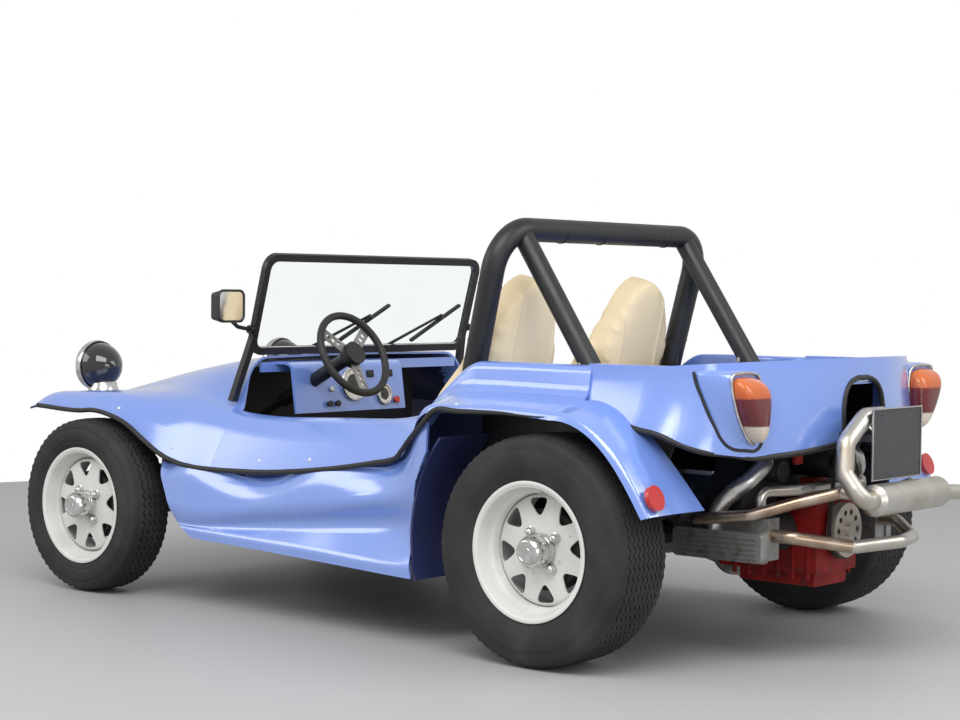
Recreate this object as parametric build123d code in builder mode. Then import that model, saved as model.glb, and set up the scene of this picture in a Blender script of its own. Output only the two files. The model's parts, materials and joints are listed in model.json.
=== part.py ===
from build123d import *
import os
from math import cos, radians, sin, tan

os.makedirs("parts", exist_ok=True)

# Driving dimensions in millimetres. X runs forward, Y to the left, Z up, with the ground at Z = 0
# and the origin under the middle of the overall length.
WHEELBASE = 2100.0
FRONT_OVERHANG = 370.0
REAR_OVERHANG = 808.0
REAR_AXLE_X = -(WHEELBASE + FRONT_OVERHANG - REAR_OVERHANG) / 2
FRONT_AXLE_X = REAR_AXLE_X + WHEELBASE
FIT = 0.3
RUNNING_CLEARANCE = 0.5

# Wheels and tyres
FRONT_TYRE_RADIUS = 311.0
REAR_TYRE_RADIUS = 343.0
FRONT_HALF_TRACK = 729.0
REAR_HALF_TRACK = 745.0
RIM_SEAT_RADIUS = 190.5
RIM_FLANGE_RADIUS = 208.0
RIM_WALL = 5.0
DISC_WINDOWS = 8
DRUM_RADIUS = 122.0
DRUM_WIDTH = 60.0
HUB_CAP_RADIUS = 44.0
HUB_CAP_LENGTH = 74.0
STUB_RADIUS = 20.0
BACKPLATE_GAP = 5.0

# Body shell
SKIN = 8.0
BODY_EDGE = 750.0
FENDER_LIP = 850.0
DASH_X = FRONT_AXLE_X - 620.0
COCKPIT_REAR_X = REAR_AXLE_X + 600.0
TUB_WALL_Y = 574.0
FLOOR_Z = 246.0
FLOOR_GAUGE = 6.0
TUNNEL_WIDTH = 150.0
TUNNEL_TOP = 420.0
DECK_Z = 836.0
TAIL_OPENING_WIDTH = 238.0

# Steering
KINGPIN_Y = 600.0
KINGPIN_RADIUS = 13.0
STEER_ARM = 130.0
STEER_ARM_Z = 312.0
STEER_ARM_GAUGE = 18.0
BALL_PIN_RADIUS = 8.0
TIE_ROD_RADIUS = 11.0
STEER_Y = 345.0
STEERING_WHEEL_RADIUS = 148.0
STEERING_RIM_RADIUS = 13.0
STEERING_WHEEL_X = REAR_AXLE_X + 1190.0
STEERING_WHEEL_Z = 874.0
COLUMN_SLOPE = 27.2
COLUMN_RADIUS = 24.0

# Front axle
BEAM_AHEAD = 150.0
BEAM_TUBE_RADIUS = 30.0
BEAM_LOW_Z = 262.0
BEAM_HIGH_Z = 392.0
BEAM_HALF_WIDTH = 484.0

# Cage, screen and seats
HOOP_RADIUS = 38.0
BRACE_RADIUS = 33.0
HOOP_HALF_WIDTH = 558.0
HOOP_TOP_Z = 1295.0
HOOP_BEND = 130.0
SCREEN_LEAN = 14.9
SCREEN_HALF_WIDTH = 572.0
SCREEN_HEIGHT = 364.0
SCREEN_BAR = 26.0
SCREEN_LEG = 168.0
GLASS_GAUGE = 6.0
SEAT_Y = 315.0

# Engine and exhaust
CRANK_Z = 384.0
ENGINE_FRONT = -182.0
CASE_LENGTH = 345.0
PULLEY_RADIUS = 83.0
HEAD_Y = 290.0
COVER_Y = 352.0
MUFFLER_RADIUS = 47.0
MUFFLER_LENGTH = 420.0
MUFFLER_X = REAR_AXLE_X - 760.0
MUFFLER_Z = 503.0
PIPE_RADIUS = 21.0
PLATE_WIDTH = 298.0
PLATE_HEIGHT = 210.0
PLATE_X = REAR_AXLE_X - 725.0


def rounded(points, shift=0.0, roundness=0.46):
    """Draw a run of points with rounded corners, shifted to its right; give back its two ends."""
    spots = [Vector(*p) for p in points]
    runs = [b - a for a, b in zip(spots, spots[1:])]
    units = [r.normalized() for r in runs]
    rights = [Vector(u.Y, -u.X) for u in units]
    start = spots[0] + rights[0] * shift
    first = start
    for i in range(1, len(spots) - 1):
        reach = roundness * min(runs[i - 1].length, runs[i].length)
        half_turn = radians(units[i - 1].get_angle(units[i])) / 2
        middle_right = (rights[i - 1] + rights[i]).normalized()
        inward = (units[i] - units[i - 1]).normalized()
        a = spots[i] - units[i - 1] * reach + rights[i - 1] * shift
        m = spots[i] + inward * (reach * tan(half_turn / 2)) + middle_right * shift
        b = spots[i] + units[i] * reach + rights[i] * shift
        Line(start, a)
        ThreePointArc(a, m, b)
        start = b
    last = spots[-1] + rights[-1] * shift
    Line(start, last)
    return first, last


def draw_skin(points, wall, roundness=0.46):
    """Closed outline of a wall that lies to the right of a run of points."""
    outer = rounded(points, 0.0, roundness)
    inner = rounded(points, wall, roundness)
    Line(outer[0], inner[0])
    Line(outer[1], inner[1])


def both_sides(points):
    """A half section from the middle outwards, with its mirror image before it."""
    return [(-y, z) for y, z in reversed(points)] + [p for p in points if p[0] > 0]


def finish(builder, name):
    builder.part.label = name
    export_step(builder.part, f"parts/{name}.step")


# Wheels, one table row for each axle
# end, axle x, half track, tyre radius, tyre width, rim width over flanges, disc set in from the rim's outer edge
AXLES = [
    ("front", FRONT_AXLE_X, FRONT_HALF_TRACK, FRONT_TYRE_RADIUS, 185.0, 166.0, 42.0),
    ("rear", REAR_AXLE_X, REAR_HALF_TRACK, REAR_TYRE_RADIUS, 255.0, 228.0, 71.0),
]
DISC_Y = {}
for end, axle_x, half_track, radius, tyre_width, rim_width, inset in AXLES:
    half_rim = rim_width / 2
    bead = half_rim - RIM_WALL - FIT
    seat = RIM_SEAT_RADIUS + FIT
    height = radius - seat
    half_tyre = tyre_width / 2
    disc_y = half_track + half_rim - inset
    DISC_Y[end] = disc_y
    wheel_axis = Axis((axle_x, 0, radius), (0, 1, 0))
    wheel_plane = Plane(origin=(axle_x, half_track, radius), x_dir=(0, 1, 0), z_dir=(1, 0, 0))

    with BuildPart() as tyre:
        with BuildSketch(wheel_plane):
            with BuildLine():
                for s in (-1, 1):
                    Line((s * (bead - 10), seat), (s * bead, seat + 10))
                    Line((s * bead, seat + 10), (s * bead, RIM_FLANGE_RADIUS + 2))
                    ThreePointArc(
                        (s * bead, RIM_FLANGE_RADIUS + 2),
                        (s * half_tyre, seat + 0.52 * height),
                        (s * (half_tyre - 8), radius - 0.2 * height),
                    )
                    ThreePointArc(
                        (s * (half_tyre - 8), radius - 0.2 * height),
                        (s * (half_tyre - 14), radius - 0.08 * height),
                        (s * (half_tyre - 30), radius - 4),
                    )
                ThreePointArc((-(half_tyre - 30), radius - 4), (0, radius), (half_tyre - 30, radius - 4))
                Line((-bead + 10, seat), (bead - 10, seat))
            make_face()
        revolve(axis=wheel_axis)

    with BuildPart() as rim:
        with BuildSketch(wheel_plane):
            with BuildLine():
                draw_skin(
                    [
                        (-half_rim + RIM_WALL, RIM_FLANGE_RADIUS),
                        (-half_rim + RIM_WALL, RIM_SEAT_RADIUS),
                        (-half_rim + 40, RIM_SEAT_RADIUS - 1),
                        (-half_rim + 54, RIM_SEAT_RADIUS - 19),
                        (half_rim - 54, RIM_SEAT_RADIUS - 19),
                        (half_rim - 40, RIM_SEAT_RADIUS - 1),
                        (half_rim - RIM_WALL, RIM_SEAT_RADIUS),
                        (half_rim - RIM_WALL, RIM_FLANGE_RADIUS),
                    ],
                    RIM_WALL,
                    0.4,
                )
            make_face()
        revolve(axis=wheel_axis)
        with BuildSketch(wheel_plane):
            with BuildLine():
                d = half_rim - inset
                draw_skin(
                    [(d - 16, RIM_SEAT_RADIUS - 21), (d, 148), (d, 112), (d - 12, 92), (d - 12, 62)],
                    RIM_WALL,
                    0.4,
                )
            make_face()
        revolve(axis=wheel_axis)
        with BuildSketch(Plane(origin=(axle_x, disc_y, radius), x_dir=(1, 0, 0), z_dir=(0, -1, 0))) as windows:
            with PolarLocations(133, DISC_WINDOWS, start_angle=22.5):
                Trapezoid(52, 38, 68, rotation=90)
            fillet(windows.vertices(), 8)
        extrude(amount=40, both=True, mode=Mode.SUBTRACT)

    with BuildPart() as hub:
        with BuildSketch(wheel_plane):
            with BuildLine():
                face = half_rim - inset - 12 - RIM_WALL
                Polyline(
                    (face - DRUM_WIDTH, STUB_RADIUS + RUNNING_CLEARANCE),
                    (face - DRUM_WIDTH, DRUM_RADIUS - 3),
                    (face - DRUM_WIDTH + 3, DRUM_RADIUS),
                    (face - 6, DRUM_RADIUS),
                    (face, DRUM_RADIUS - 6),
                    (face, 58),
                    (face + 9, 58),
                    (face + 9, HUB_CAP_RADIUS),
                    (face + HUB_CAP_LENGTH + 6, HUB_CAP_RADIUS),
                    (face + HUB_CAP_LENGTH + 17, HUB_CAP_RADIUS - 9),
                    (face + HUB_CAP_LENGTH + 19, 0),
                    (face, 0),
                    (face, STUB_RADIUS + RUNNING_CLEARANCE),
                    close=True,
                )
            make_face()
        revolve(axis=wheel_axis)

    for piece, name in ((tyre, "tyre"), (rim, "rim"), (hub, "hub")):
        finish(piece, f"{name}_{end}_left")
        with BuildPart() as other:
            mirror(piece.part, about=Plane.XZ)
        finish(other, f"{name}_{end}_right")



def beside(piece, name):
    """Write the left piece and its mirror image on the right."""
    finish(piece, f"{name}_left")
    with BuildPart() as other:
        mirror(piece.part, about=Plane.XZ)
    finish(other, f"{name}_right")


# Front body: bonnet, front fenders and scuttle in one moulding. All heights are above the ground,
# widths are measured in from the body's edge line.
# ahead of the front axle, crown z, bonnet shoulder in and z, valley in and z, ledge in and z, roll in and z, edge z
NOSE_SECTIONS = [
    (362, 636, 450, 640, 320, 650, 182, 664, 62, 668, 646),
    (300, 702, 440, 695, 320, 682, 180, 698, 52, 702, 656),
    (150, 748, 420, 738, 310, 704, 175, 711, 47, 713, 652),
    (-20, 786, 395, 774, 288, 722, 165, 720, 48, 716, 653),
    (-200, 818, 350, 804, 245, 735, 150, 717, 56, 682, 612),
    (-380, 843, 295, 830, 198, 728, 138, 701, 68, 640, 514),
    (-540, 860, 235, 850, 168, 696, 128, 679, 78, 632, 484),
    (-620, 868, 195, 860, 156, 676, 122, 664, 80, 624, 481),
    (-800, 880, 178, 872, 150, 668, 118, 658, 78, 616, 484),
]


def nose_section(crown, shoulder_in, shoulder_z, valley_in, valley_z, ledge_in, ledge_z, roll_in, roll_z, edge_z):
    return both_sides(
        [
            (0, crown),
            (BODY_EDGE - shoulder_in, shoulder_z),
            (BODY_EDGE - valley_in, valley_z),
            (BODY_EDGE - ledge_in, ledge_z),
            (BODY_EDGE - roll_in, roll_z),
            (BODY_EDGE, edge_z),
        ]
    )


with BuildPart() as front_body:
    for ahead, *columns in NOSE_SECTIONS:
        with BuildSketch(Plane.YZ.offset(FRONT_AXLE_X + ahead)):
            with BuildLine():
                draw_skin(nose_section(*columns), SKIN)
            make_face()
    loft()
    split(bisect_by=Plane.YZ.offset(DASH_X), keep=Keep.TOP)
finish(front_body, "front_body")

# Cockpit side: tub wall, rolled top edge and outer skin down to the edge line
# share of the way from the dash to the rear, top edge in and z, ledge in and z, roll in and z, edge z
COCKPIT_SECTIONS = [
    (-0.27, 168, 694, 130, 679, 78, 632, 484),
    (0.0, 156, 676, 122, 664, 80, 624, 481),
    (0.33, 152, 668, 118, 657, 76, 614, 490),
    (0.66, 150, 680, 116, 668, 70, 624, 522),
    (0.9, 150, 694, 114, 682, 64, 642, 562),
    (1.0, 150, 718, 113, 704, 60, 658, 583),
]
with BuildPart() as cockpit_side:
    for share, top_in, top_z, ledge_in, ledge_z, roll_in, roll_z, edge_z in COCKPIT_SECTIONS:
        with BuildSketch(Plane.YZ.offset(DASH_X + share * (COCKPIT_REAR_X - DASH_X))):
            with BuildLine():
                draw_skin(
                    [
                        (TUB_WALL_Y, FLOOR_Z),
                        (TUB_WALL_Y, top_z - 16),
                        (BODY_EDGE - top_in, top_z),
                        (BODY_EDGE - ledge_in, ledge_z),
                        (BODY_EDGE - roll_in, roll_z),
                        (BODY_EDGE, edge_z),
                    ],
                    SKIN,
                )
            make_face()
    loft()
    split(bisect_by=Plane.YZ.offset(DASH_X - FIT), keep=Keep.BOTTOM)
beside(cockpit_side, "cockpit_side")

# Rear body: quarters with the shoulders over the wheels, boat tail and the fenders' rear ends
FLARE = FENDER_LIP - BODY_EDGE
# ahead of the rear axle, rim y and z, crease y and z, shoulder's share of the way to the lip and z, lip's share of the flare and z
QUARTER_SECTIONS = [
    (600, 600, 718, 637, 704, 0.47, 658, 0.0, 583),
    (560, 601, 764, 640, 742, 0.50, 688, 0.2, 616),
    (520, 602, 800, 642, 768, 0.54, 716, 0.42, 652),
    (475, 603, 838, 646, 784, 0.57, 742, 0.72, 698),
    (430, 604, 870, 650, 791, 0.59, 760, 0.93, 734),
    (380, 605, 886, 650, 791, 0.61, 769, 1.0, 748),
    (280, 605, 888, 650, 790, 0.61, 772, 1.0, 752),
    (100, 606, 888, 652, 786, 0.61, 772, 1.0, 754),
    (-60, 607, 888, 655, 784, 0.61, 768, 1.0, 747),
]
QUARTER_RISE = 6
# ahead of the rear axle, z, turn of the section towards the back, inner edge y and rise, shoulder's share of the way to the lip and rise
FENDER_SECTIONS = [
    (-60, 746, 0, 640, 38, 0.65, 21),
    (-170, 728, 22, 640, 30, 0.65, 20),
    (-281, 650, 52, 628, 20, 0.66, 19),
    (-354, 560, 66, 590, 8, 0.7, 18),
    (-410, 474, 72, 552, 0, 0.73, 18),
]
# height, side y, quarter x and y, corner x and y, haunch x and y, face x and y
TAIL_LEVELS = [
    (600, 727, -300, 730, -455, 652, -562, 420, -612, 190),
    (700, 690, -305, 693, -450, 634, -557, 415, -612, 188),
    (795, 650, -310, 653, -440, 612, -550, 410, -610, 186),
    (888, 638, -310, 640, -434, 606, -545, 406, -606, 184),
]
TAIL_FRONT = -50
RIM_LEDGE = 38.0


def tail_outline(side_y, quarter_x, quarter_y, corner_x, corner_y, haunch_x, haunch_y, face_x, face_y, front=TAIL_FRONT):
    half = [
        (REAR_AXLE_X + front, side_y),
        (REAR_AXLE_X + quarter_x, quarter_y),
        (REAR_AXLE_X + corner_x, corner_y),
        (REAR_AXLE_X + haunch_x, haunch_y),
        (REAR_AXLE_X + face_x, face_y),
    ]
    return [(x, -y) for x, y in half] + [(x, y) for x, y in reversed(half)]


with BuildPart() as tail_mass:
    for height, *columns in TAIL_LEVELS:
        with BuildSketch(Plane.XY.offset(height)):
            with BuildLine():
                ends = rounded(tail_outline(*columns))
                Line(*ends)
            make_face()
    loft()

with BuildPart() as tail_room:
    for height, *columns in TAIL_LEVELS:
        with BuildSketch(Plane.XY.offset(height)):
            with BuildLine():
                ends = rounded(tail_outline(*columns, front=500), SKIN)
                Line(*ends)
            make_face()
    loft()

with BuildPart() as lamp_seat:
    for height, *columns in TAIL_LEVELS:
        with BuildSketch(Plane.XY.offset(height)):
            with BuildLine():
                ends = rounded(tail_outline(*columns, front=-100), -FIT)
                Line(*ends)
            make_face()
    loft()

with BuildPart() as deck_room:
    for height, *columns in TAIL_LEVELS:
        with BuildSketch(Plane.XY.offset(height)):
            with BuildLine():
                ends = rounded(tail_outline(*columns, front=-60), SKIN + FIT)
                Line(*ends)
            make_face()
    loft()

with BuildPart() as tail_shell:
    add(tail_mass.part)
    add(tail_room.part, mode=Mode.SUBTRACT)
    with BuildSketch(Plane.XZ) as below:
        with BuildLine():
            FilletPolyline(
                [
                    (REAR_AXLE_X + x, z)
                    for x, z in (
                        (60, 790), (-90, 744), (-200, 722), (-330, 694), (-444, 652),
                        (-527, 630), (-590, 640), (-640, 662), (-700, 664), (-700, 500), (60, 500),
                    )
                ],
                radius=12,
                close=True,
            )
        make_face()
    extrude(amount=900, both=True, mode=Mode.SUBTRACT)
    with BuildSketch(Plane.YZ.offset(REAR_AXLE_X - 560)):
        with Locations((0, 735)):
            RectangleRounded(TAIL_OPENING_WIDTH, 234, 88)
    extrude(amount=-120, mode=Mode.SUBTRACT)
    # Raised lip round the well
    with BuildSketch(Plane.XY.offset(TAIL_LEVELS[-1][0] - 12)):
        with BuildLine():
            lip_points = tail_outline(*TAIL_LEVELS[-1][1:])
            outer = rounded(lip_points, SKIN / 2)
            inner = rounded(lip_points, RIM_LEDGE)
            Line(outer[0], inner[0])
            Line(outer[1], inner[1])
        make_face()
    extrude(amount=52)
    # The rim rises from the quarters to the back
    with BuildSketch(Plane.XZ):
        with BuildLine():
            Polyline(
                *[
                    (REAR_AXLE_X + x, TAIL_LEVELS[-1][0] + rise)
                    for x, rise in ((60, 0), (-320, 2), (-470, 14), (-700, 32), (-700, 80), (60, 80))
                ],
                close=True,
            )
        make_face()
    extrude(amount=900, both=True, mode=Mode.SUBTRACT)

with BuildPart() as quarter:
    for sections in (QUARTER_SECTIONS[:QUARTER_RISE], QUARTER_SECTIONS[QUARTER_RISE - 1:]):
        for ahead, rim_y, rim_z, crease_y, crease_z, shoulder_share, shoulder_z, lip_share, lip_z in sections:
            lip_y = BODY_EDGE + lip_share * FLARE
            shoulder_y = crease_y + shoulder_share * (lip_y - crease_y)
            with BuildSketch(Plane.YZ.offset(REAR_AXLE_X + ahead)):
                with BuildLine():
                    draw_skin(
                        [
                            (rim_y - 4, rim_z - 54),
                            (rim_y - 2, rim_z),
                            (rim_y + 34, rim_z - 12),
                            (crease_y, crease_z),
                            (shoulder_y, shoulder_z),
                            (lip_y - 8, lip_z + 6),
                            (lip_y, lip_z - 16),
                        ],
                        SKIN,
                        0.42,
                    )
                make_face()
        loft()

with BuildPart() as rear_fender:
    for ahead, z, turn, inner_y, inner_rise, shoulder_share, shoulder_rise in FENDER_SECTIONS:
        shoulder_y = inner_y + shoulder_share * (FENDER_LIP - inner_y)
        c, s = cos(radians(turn)), sin(radians(turn))
        with BuildSketch(Plane(origin=(REAR_AXLE_X + ahead, 0, z), x_dir=(0, 1, 0), z_dir=(c, 0, s))):
            with BuildLine():
                draw_skin(
                    [
                        (inner_y, inner_rise),
                        ((inner_y + shoulder_y) / 2, (inner_rise + shoulder_rise) / 2 + 4),
                        (shoulder_y, shoulder_rise),
                        (FENDER_LIP - 8, 6),
                        (FENDER_LIP, -16),
                    ],
                    SKIN,
                    0.42,
                )
            make_face()
    loft()

with BuildPart() as rear_body:
    add(tail_shell.part)
    add(quarter.part)
    add(rear_fender.part)
    mirror(quarter.part, about=Plane.XZ)
    mirror(rear_fender.part, about=Plane.XZ)
finish(rear_body, "rear_body")

# Lower side panel: hangs below the edge line, bulges behind the front wheel and carries a scoop
# that deepens to the rear; the wheel arches are cut in side view
# share of the way from the dash to the rear, edge out and z, bulge out and z, ledge out and z, scoop out and z, foot out and z
PANEL_SECTIONS = [
    (-0.36, 0, 552, 16, 500, 24, 430, 8, 370, 16, 300),
    (-0.2, 0, 499, 24, 446, 36, 344, 18, 296, 34, 262),
    (0.1, 0, 485, 30, 420, 40, 336, 16, 290, 46, 252),
    (0.45, 0, 501, 30, 440, 40, 378, 0, 320, 54, 243),
    (0.8, 0, 544, 30, 476, 42, 420, -14, 350, 70, 234),
    (1.0, 0, 572, 34, 510, 52, 446, -4, 366, 86, 230),
    (1.12, 0.54 * FLARE, 647, 0.66 * FLARE, 580, 0.78 * FLARE, 470, 0.4 * FLARE, 380, 0.98 * FLARE, 229),
    (1.22, 0.94 * FLARE, 711, 0.97 * FLARE, 640, 0.99 * FLARE, 520, 0.7 * FLARE, 400, FLARE, 229),
]
PANEL_GAP = 3.0
# ahead of the front axle, z: the panel's slanting front edge, then round the wheel
PANEL_FRONT_EDGE = [(-290, 640), (-316, 552), (-424, 393), (-488, 290), (-580, 236), (-640, 120), (200, 120), (200, 640)]
with BuildPart() as side_panel:
    for share, edge, edge_z, bulge, bulge_z, ledge, ledge_z, scoop, scoop_z, foot, foot_z in PANEL_SECTIONS:
        with BuildSketch(Plane.YZ.offset(DASH_X + share * (COCKPIT_REAR_X - DASH_X))):
            with BuildLine():
                draw_skin(
                    [
                        (BODY_EDGE + edge - 2, edge_z - PANEL_GAP - SKIN),
                        (BODY_EDGE + bulge, bulge_z),
                        (BODY_EDGE + ledge, ledge_z),
                        (BODY_EDGE + scoop, scoop_z),
                        (BODY_EDGE + foot - 6, foot_z + 18),
                        (BODY_EDGE + foot - 8, foot_z - 14),
                    ],
                    SKIN,
                    0.4,
                )
            make_face()
    loft()
    with BuildSketch(Plane.XZ):
        with BuildLine():
            FilletPolyline(
                [(FRONT_AXLE_X + ahead, z) for ahead, z in PANEL_FRONT_EDGE], radius=36, close=True
            )
        make_face()
    extrude(amount=-1000, mode=Mode.SUBTRACT)
    with BuildSketch(Plane.XZ):
        with Locations((REAR_AXLE_X, REAR_TYRE_RADIUS)):
            Circle(486)
    extrude(amount=-1000, mode=Mode.SUBTRACT)
    # Wall of the rear wheel housing, from the arch lip in to the tub
    with BuildSketch(Plane.XZ.offset(-590)):
        with BuildLine():
            centre = (REAR_AXLE_X, REAR_TYRE_RADIUS)
            CenterArc(centre, 486, -16, 56)
            CenterArc(centre, 478, -16, 56)
            for a in (-16, 40):
                Line(
                    (centre[0] + 478 * cos(radians(a)), centre[1] + 478 * sin(radians(a))),
                    (centre[0] + 486 * cos(radians(a)), centre[1] + 486 * sin(radians(a))),
                )
        make_face()
    extrude(amount=-(FENDER_LIP - 24 - 590))
beside(side_panel, "side_panel")

# Floor pan with its tunnel, toe board, firewall and frame head
column_dir = (cos(radians(COLUMN_SLOPE)), 0, -sin(radians(COLUMN_SLOPE)))
wheel_centre = (STEERING_WHEEL_X, STEER_Y, STEERING_WHEEL_Z)
column_plane = Plane(origin=wheel_centre, x_dir=(0, 1, 0), z_dir=column_dir)
SHAFT_RADIUS = 11.0
with BuildPart() as floor_pan:
    pan_rear, pan_front = REAR_AXLE_X + 410, FRONT_AXLE_X - 400
    half = [
        (pan_rear, TUB_WALL_Y - 2),
        (DASH_X - 20, TUB_WALL_Y - 2),
        (pan_front, 432),
        (pan_front + 60, 160),
    ]
    outline = half + [(x, -y) for x, y in reversed(half)]
    with BuildSketch(Plane.XY.offset(FLOOR_Z)):
        with BuildLine():
            Polyline(*outline, close=True)
        make_face()
    extrude(amount=FLOOR_GAUGE)
    with BuildSketch(Plane.XY.offset(FLOOR_Z)):
        with BuildLine():
            draw_skin(outline[1:-1], FLOOR_GAUGE, 0.1)
        make_face()
    extrude(amount=310)
    with BuildSketch(Plane.YZ.offset(pan_front - 29)):
        with BuildLine():
            Polyline(*both_sides([(0, 824), (440, 810), (498, 738), (498, 540)]), close=True)
        make_face()
    extrude(amount=FLOOR_GAUGE)
    with BuildSketch(column_plane):
        Circle(SHAFT_RADIUS + 5)
    extrude(amount=700, mode=Mode.SUBTRACT)
    with BuildSketch(Plane.YZ.offset(REAR_AXLE_X + 320)):
        with BuildLine():
            rounded(
                [
                    (-TUNNEL_WIDTH / 2, FLOOR_Z - 14),
                    (-TUNNEL_WIDTH / 2, TUNNEL_TOP - 10),
                    (0, TUNNEL_TOP + 30),
                    (TUNNEL_WIDTH / 2, TUNNEL_TOP - 10),
                    (TUNNEL_WIDTH / 2, FLOOR_Z - 14),
                ]
            )
            Line((TUNNEL_WIDTH / 2, FLOOR_Z - 14), (-TUNNEL_WIDTH / 2, FLOOR_Z - 14))
        make_face()
    extrude(amount=pan_front + 20 - REAR_AXLE_X - 320)
    with BuildSketch(Plane.XY.offset(FLOOR_Z - 14)):
        with BuildLine():
            Polyline(
                (pan_front - 60, -120), (FRONT_AXLE_X + BEAM_AHEAD - BEAM_TUBE_RADIUS - FIT, -90),
                (FRONT_AXLE_X + BEAM_AHEAD - BEAM_TUBE_RADIUS - FIT, 90), (pan_front - 60, 120), close=True,
            )
        make_face()
    extrude(amount=40)
finish(floor_pan, "floor_pan")

# Rear deck inside the tail and the bulkhead behind the seats
DECK_FRONT_X = REAR_AXLE_X + 425
with BuildPart() as rear_deck:
    add(deck_room.part)
    with Locations((REAR_AXLE_X - 355, 0, DECK_Z)):
        Box(620, 1600, SKIN, mode=Mode.INTERSECT)
    with Locations((DECK_FRONT_X, 0, DECK_Z)):
        Box(500, 2 * TUB_WALL_Y - 12, SKIN, align=(Align.MAX, Align.CENTER, Align.CENTER))
    with BuildSketch(Plane.YZ.offset(DECK_FRONT_X)):
        with Locations((0, (FLOOR_Z + FLOOR_GAUGE + DECK_Z) / 2)):
            Rectangle(2 * TUB_WALL_Y - 12, DECK_Z - FLOOR_Z - FLOOR_GAUGE)
        with Locations((0, 330)):
            Rectangle(TUNNEL_WIDTH + 2, 260, mode=Mode.SUBTRACT)
    extrude(amount=-SKIN)
    # Inner walls of the wheel houses
    for side in (-1, 1):
        with BuildSketch(Plane.XZ.offset(-side * (TUB_WALL_Y - 6))):
            with BuildLine():
                Polyline(
                    *[
                        (REAR_AXLE_X + x, z)
                        for x, z in ((425, 470), (425, DECK_Z), (-330, DECK_Z), (-330, 700), (-250, 520), (-150, 470))
                    ],
                    close=True,
                )
            make_face()
        extrude(amount=side * SKIN)
finish(rear_deck, "rear_deck")

# Dash: padded rail under the scuttle's rear edge and the instrument panel
PANEL_X = DASH_X - 94
with BuildPart() as dash:
    with BuildSketch(Plane.XZ):
        with BuildLine():
            draw_skin(
                [(PANEL_X - 26, 662), (DASH_X - 96, 828), (DASH_X - 70, 842), (DASH_X + 26, 842)], 10, 0.4
            )
        make_face()
    extrude(amount=-450)
    with BuildSketch(Plane.XZ):
        with BuildLine():
            draw_skin(
                [(PANEL_X - 26, 662), (DASH_X - 96, 828), (DASH_X - 70, 842), (DASH_X + 26, 842)], 10, 0.4
            )
        make_face()
    extrude(amount=115)
    with BuildSketch(Plane.YZ.offset(DASH_X)):
        with Locations((0, 822)):
            Rectangle(1030, 34)
    extrude(amount=-14)
    with BuildSketch(column_plane):
        Circle(COLUMN_RADIUS + FIT)
    extrude(amount=400, mode=Mode.SUBTRACT)
finish(dash, "dash")

# Windscreen frame and glass, in the leaning plane of the screen
SCREEN_FOOT_Z = 867.6
screen_foot = (DASH_X + 4, 0, SCREEN_FOOT_Z)
screen_plane = Plane(
    origin=screen_foot,
    x_dir=(0, 1, 0),
    z_dir=(cos(radians(SCREEN_LEAN)), 0, sin(radians(SCREEN_LEAN))),
)
with BuildPart() as windscreen_frame:
    with BuildSketch(screen_plane) as ring:
        with Locations((0, SCREEN_HEIGHT / 2)):
            RectangleRounded(2 * SCREEN_HALF_WIDTH, SCREEN_HEIGHT, 55)
            RectangleRounded(2 * SCREEN_HALF_WIDTH - 2 * SCREEN_BAR, SCREEN_HEIGHT - 2 * SCREEN_BAR, 32, mode=Mode.SUBTRACT)
        for side in (-1, 1):
            with BuildLine():
                Polyline(
                    (side * (SCREEN_HALF_WIDTH - SCREEN_BAR), 60), (side * SCREEN_HALF_WIDTH, 60),
                    (side * (SCREEN_HALF_WIDTH + 40), -SCREEN_LEG), (side * (SCREEN_HALF_WIDTH + 40 - SCREEN_BAR), -SCREEN_LEG),
                    close=True,
                )
            make_face()
    extrude(amount=11, both=True)
finish(windscreen_frame, "windscreen_frame")

with BuildPart() as windscreen_glass:
    with BuildSketch(screen_plane):
        with Locations((0, SCREEN_HEIGHT / 2)):
            RectangleRounded(
                2 * (SCREEN_HALF_WIDTH - SCREEN_BAR - FIT), SCREEN_HEIGHT - 2 * (SCREEN_BAR + FIT), 32 - FIT
            )
    extrude(amount=GLASS_GAUGE / 2, both=True)
finish(windscreen_glass, "windscreen_glass")

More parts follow.
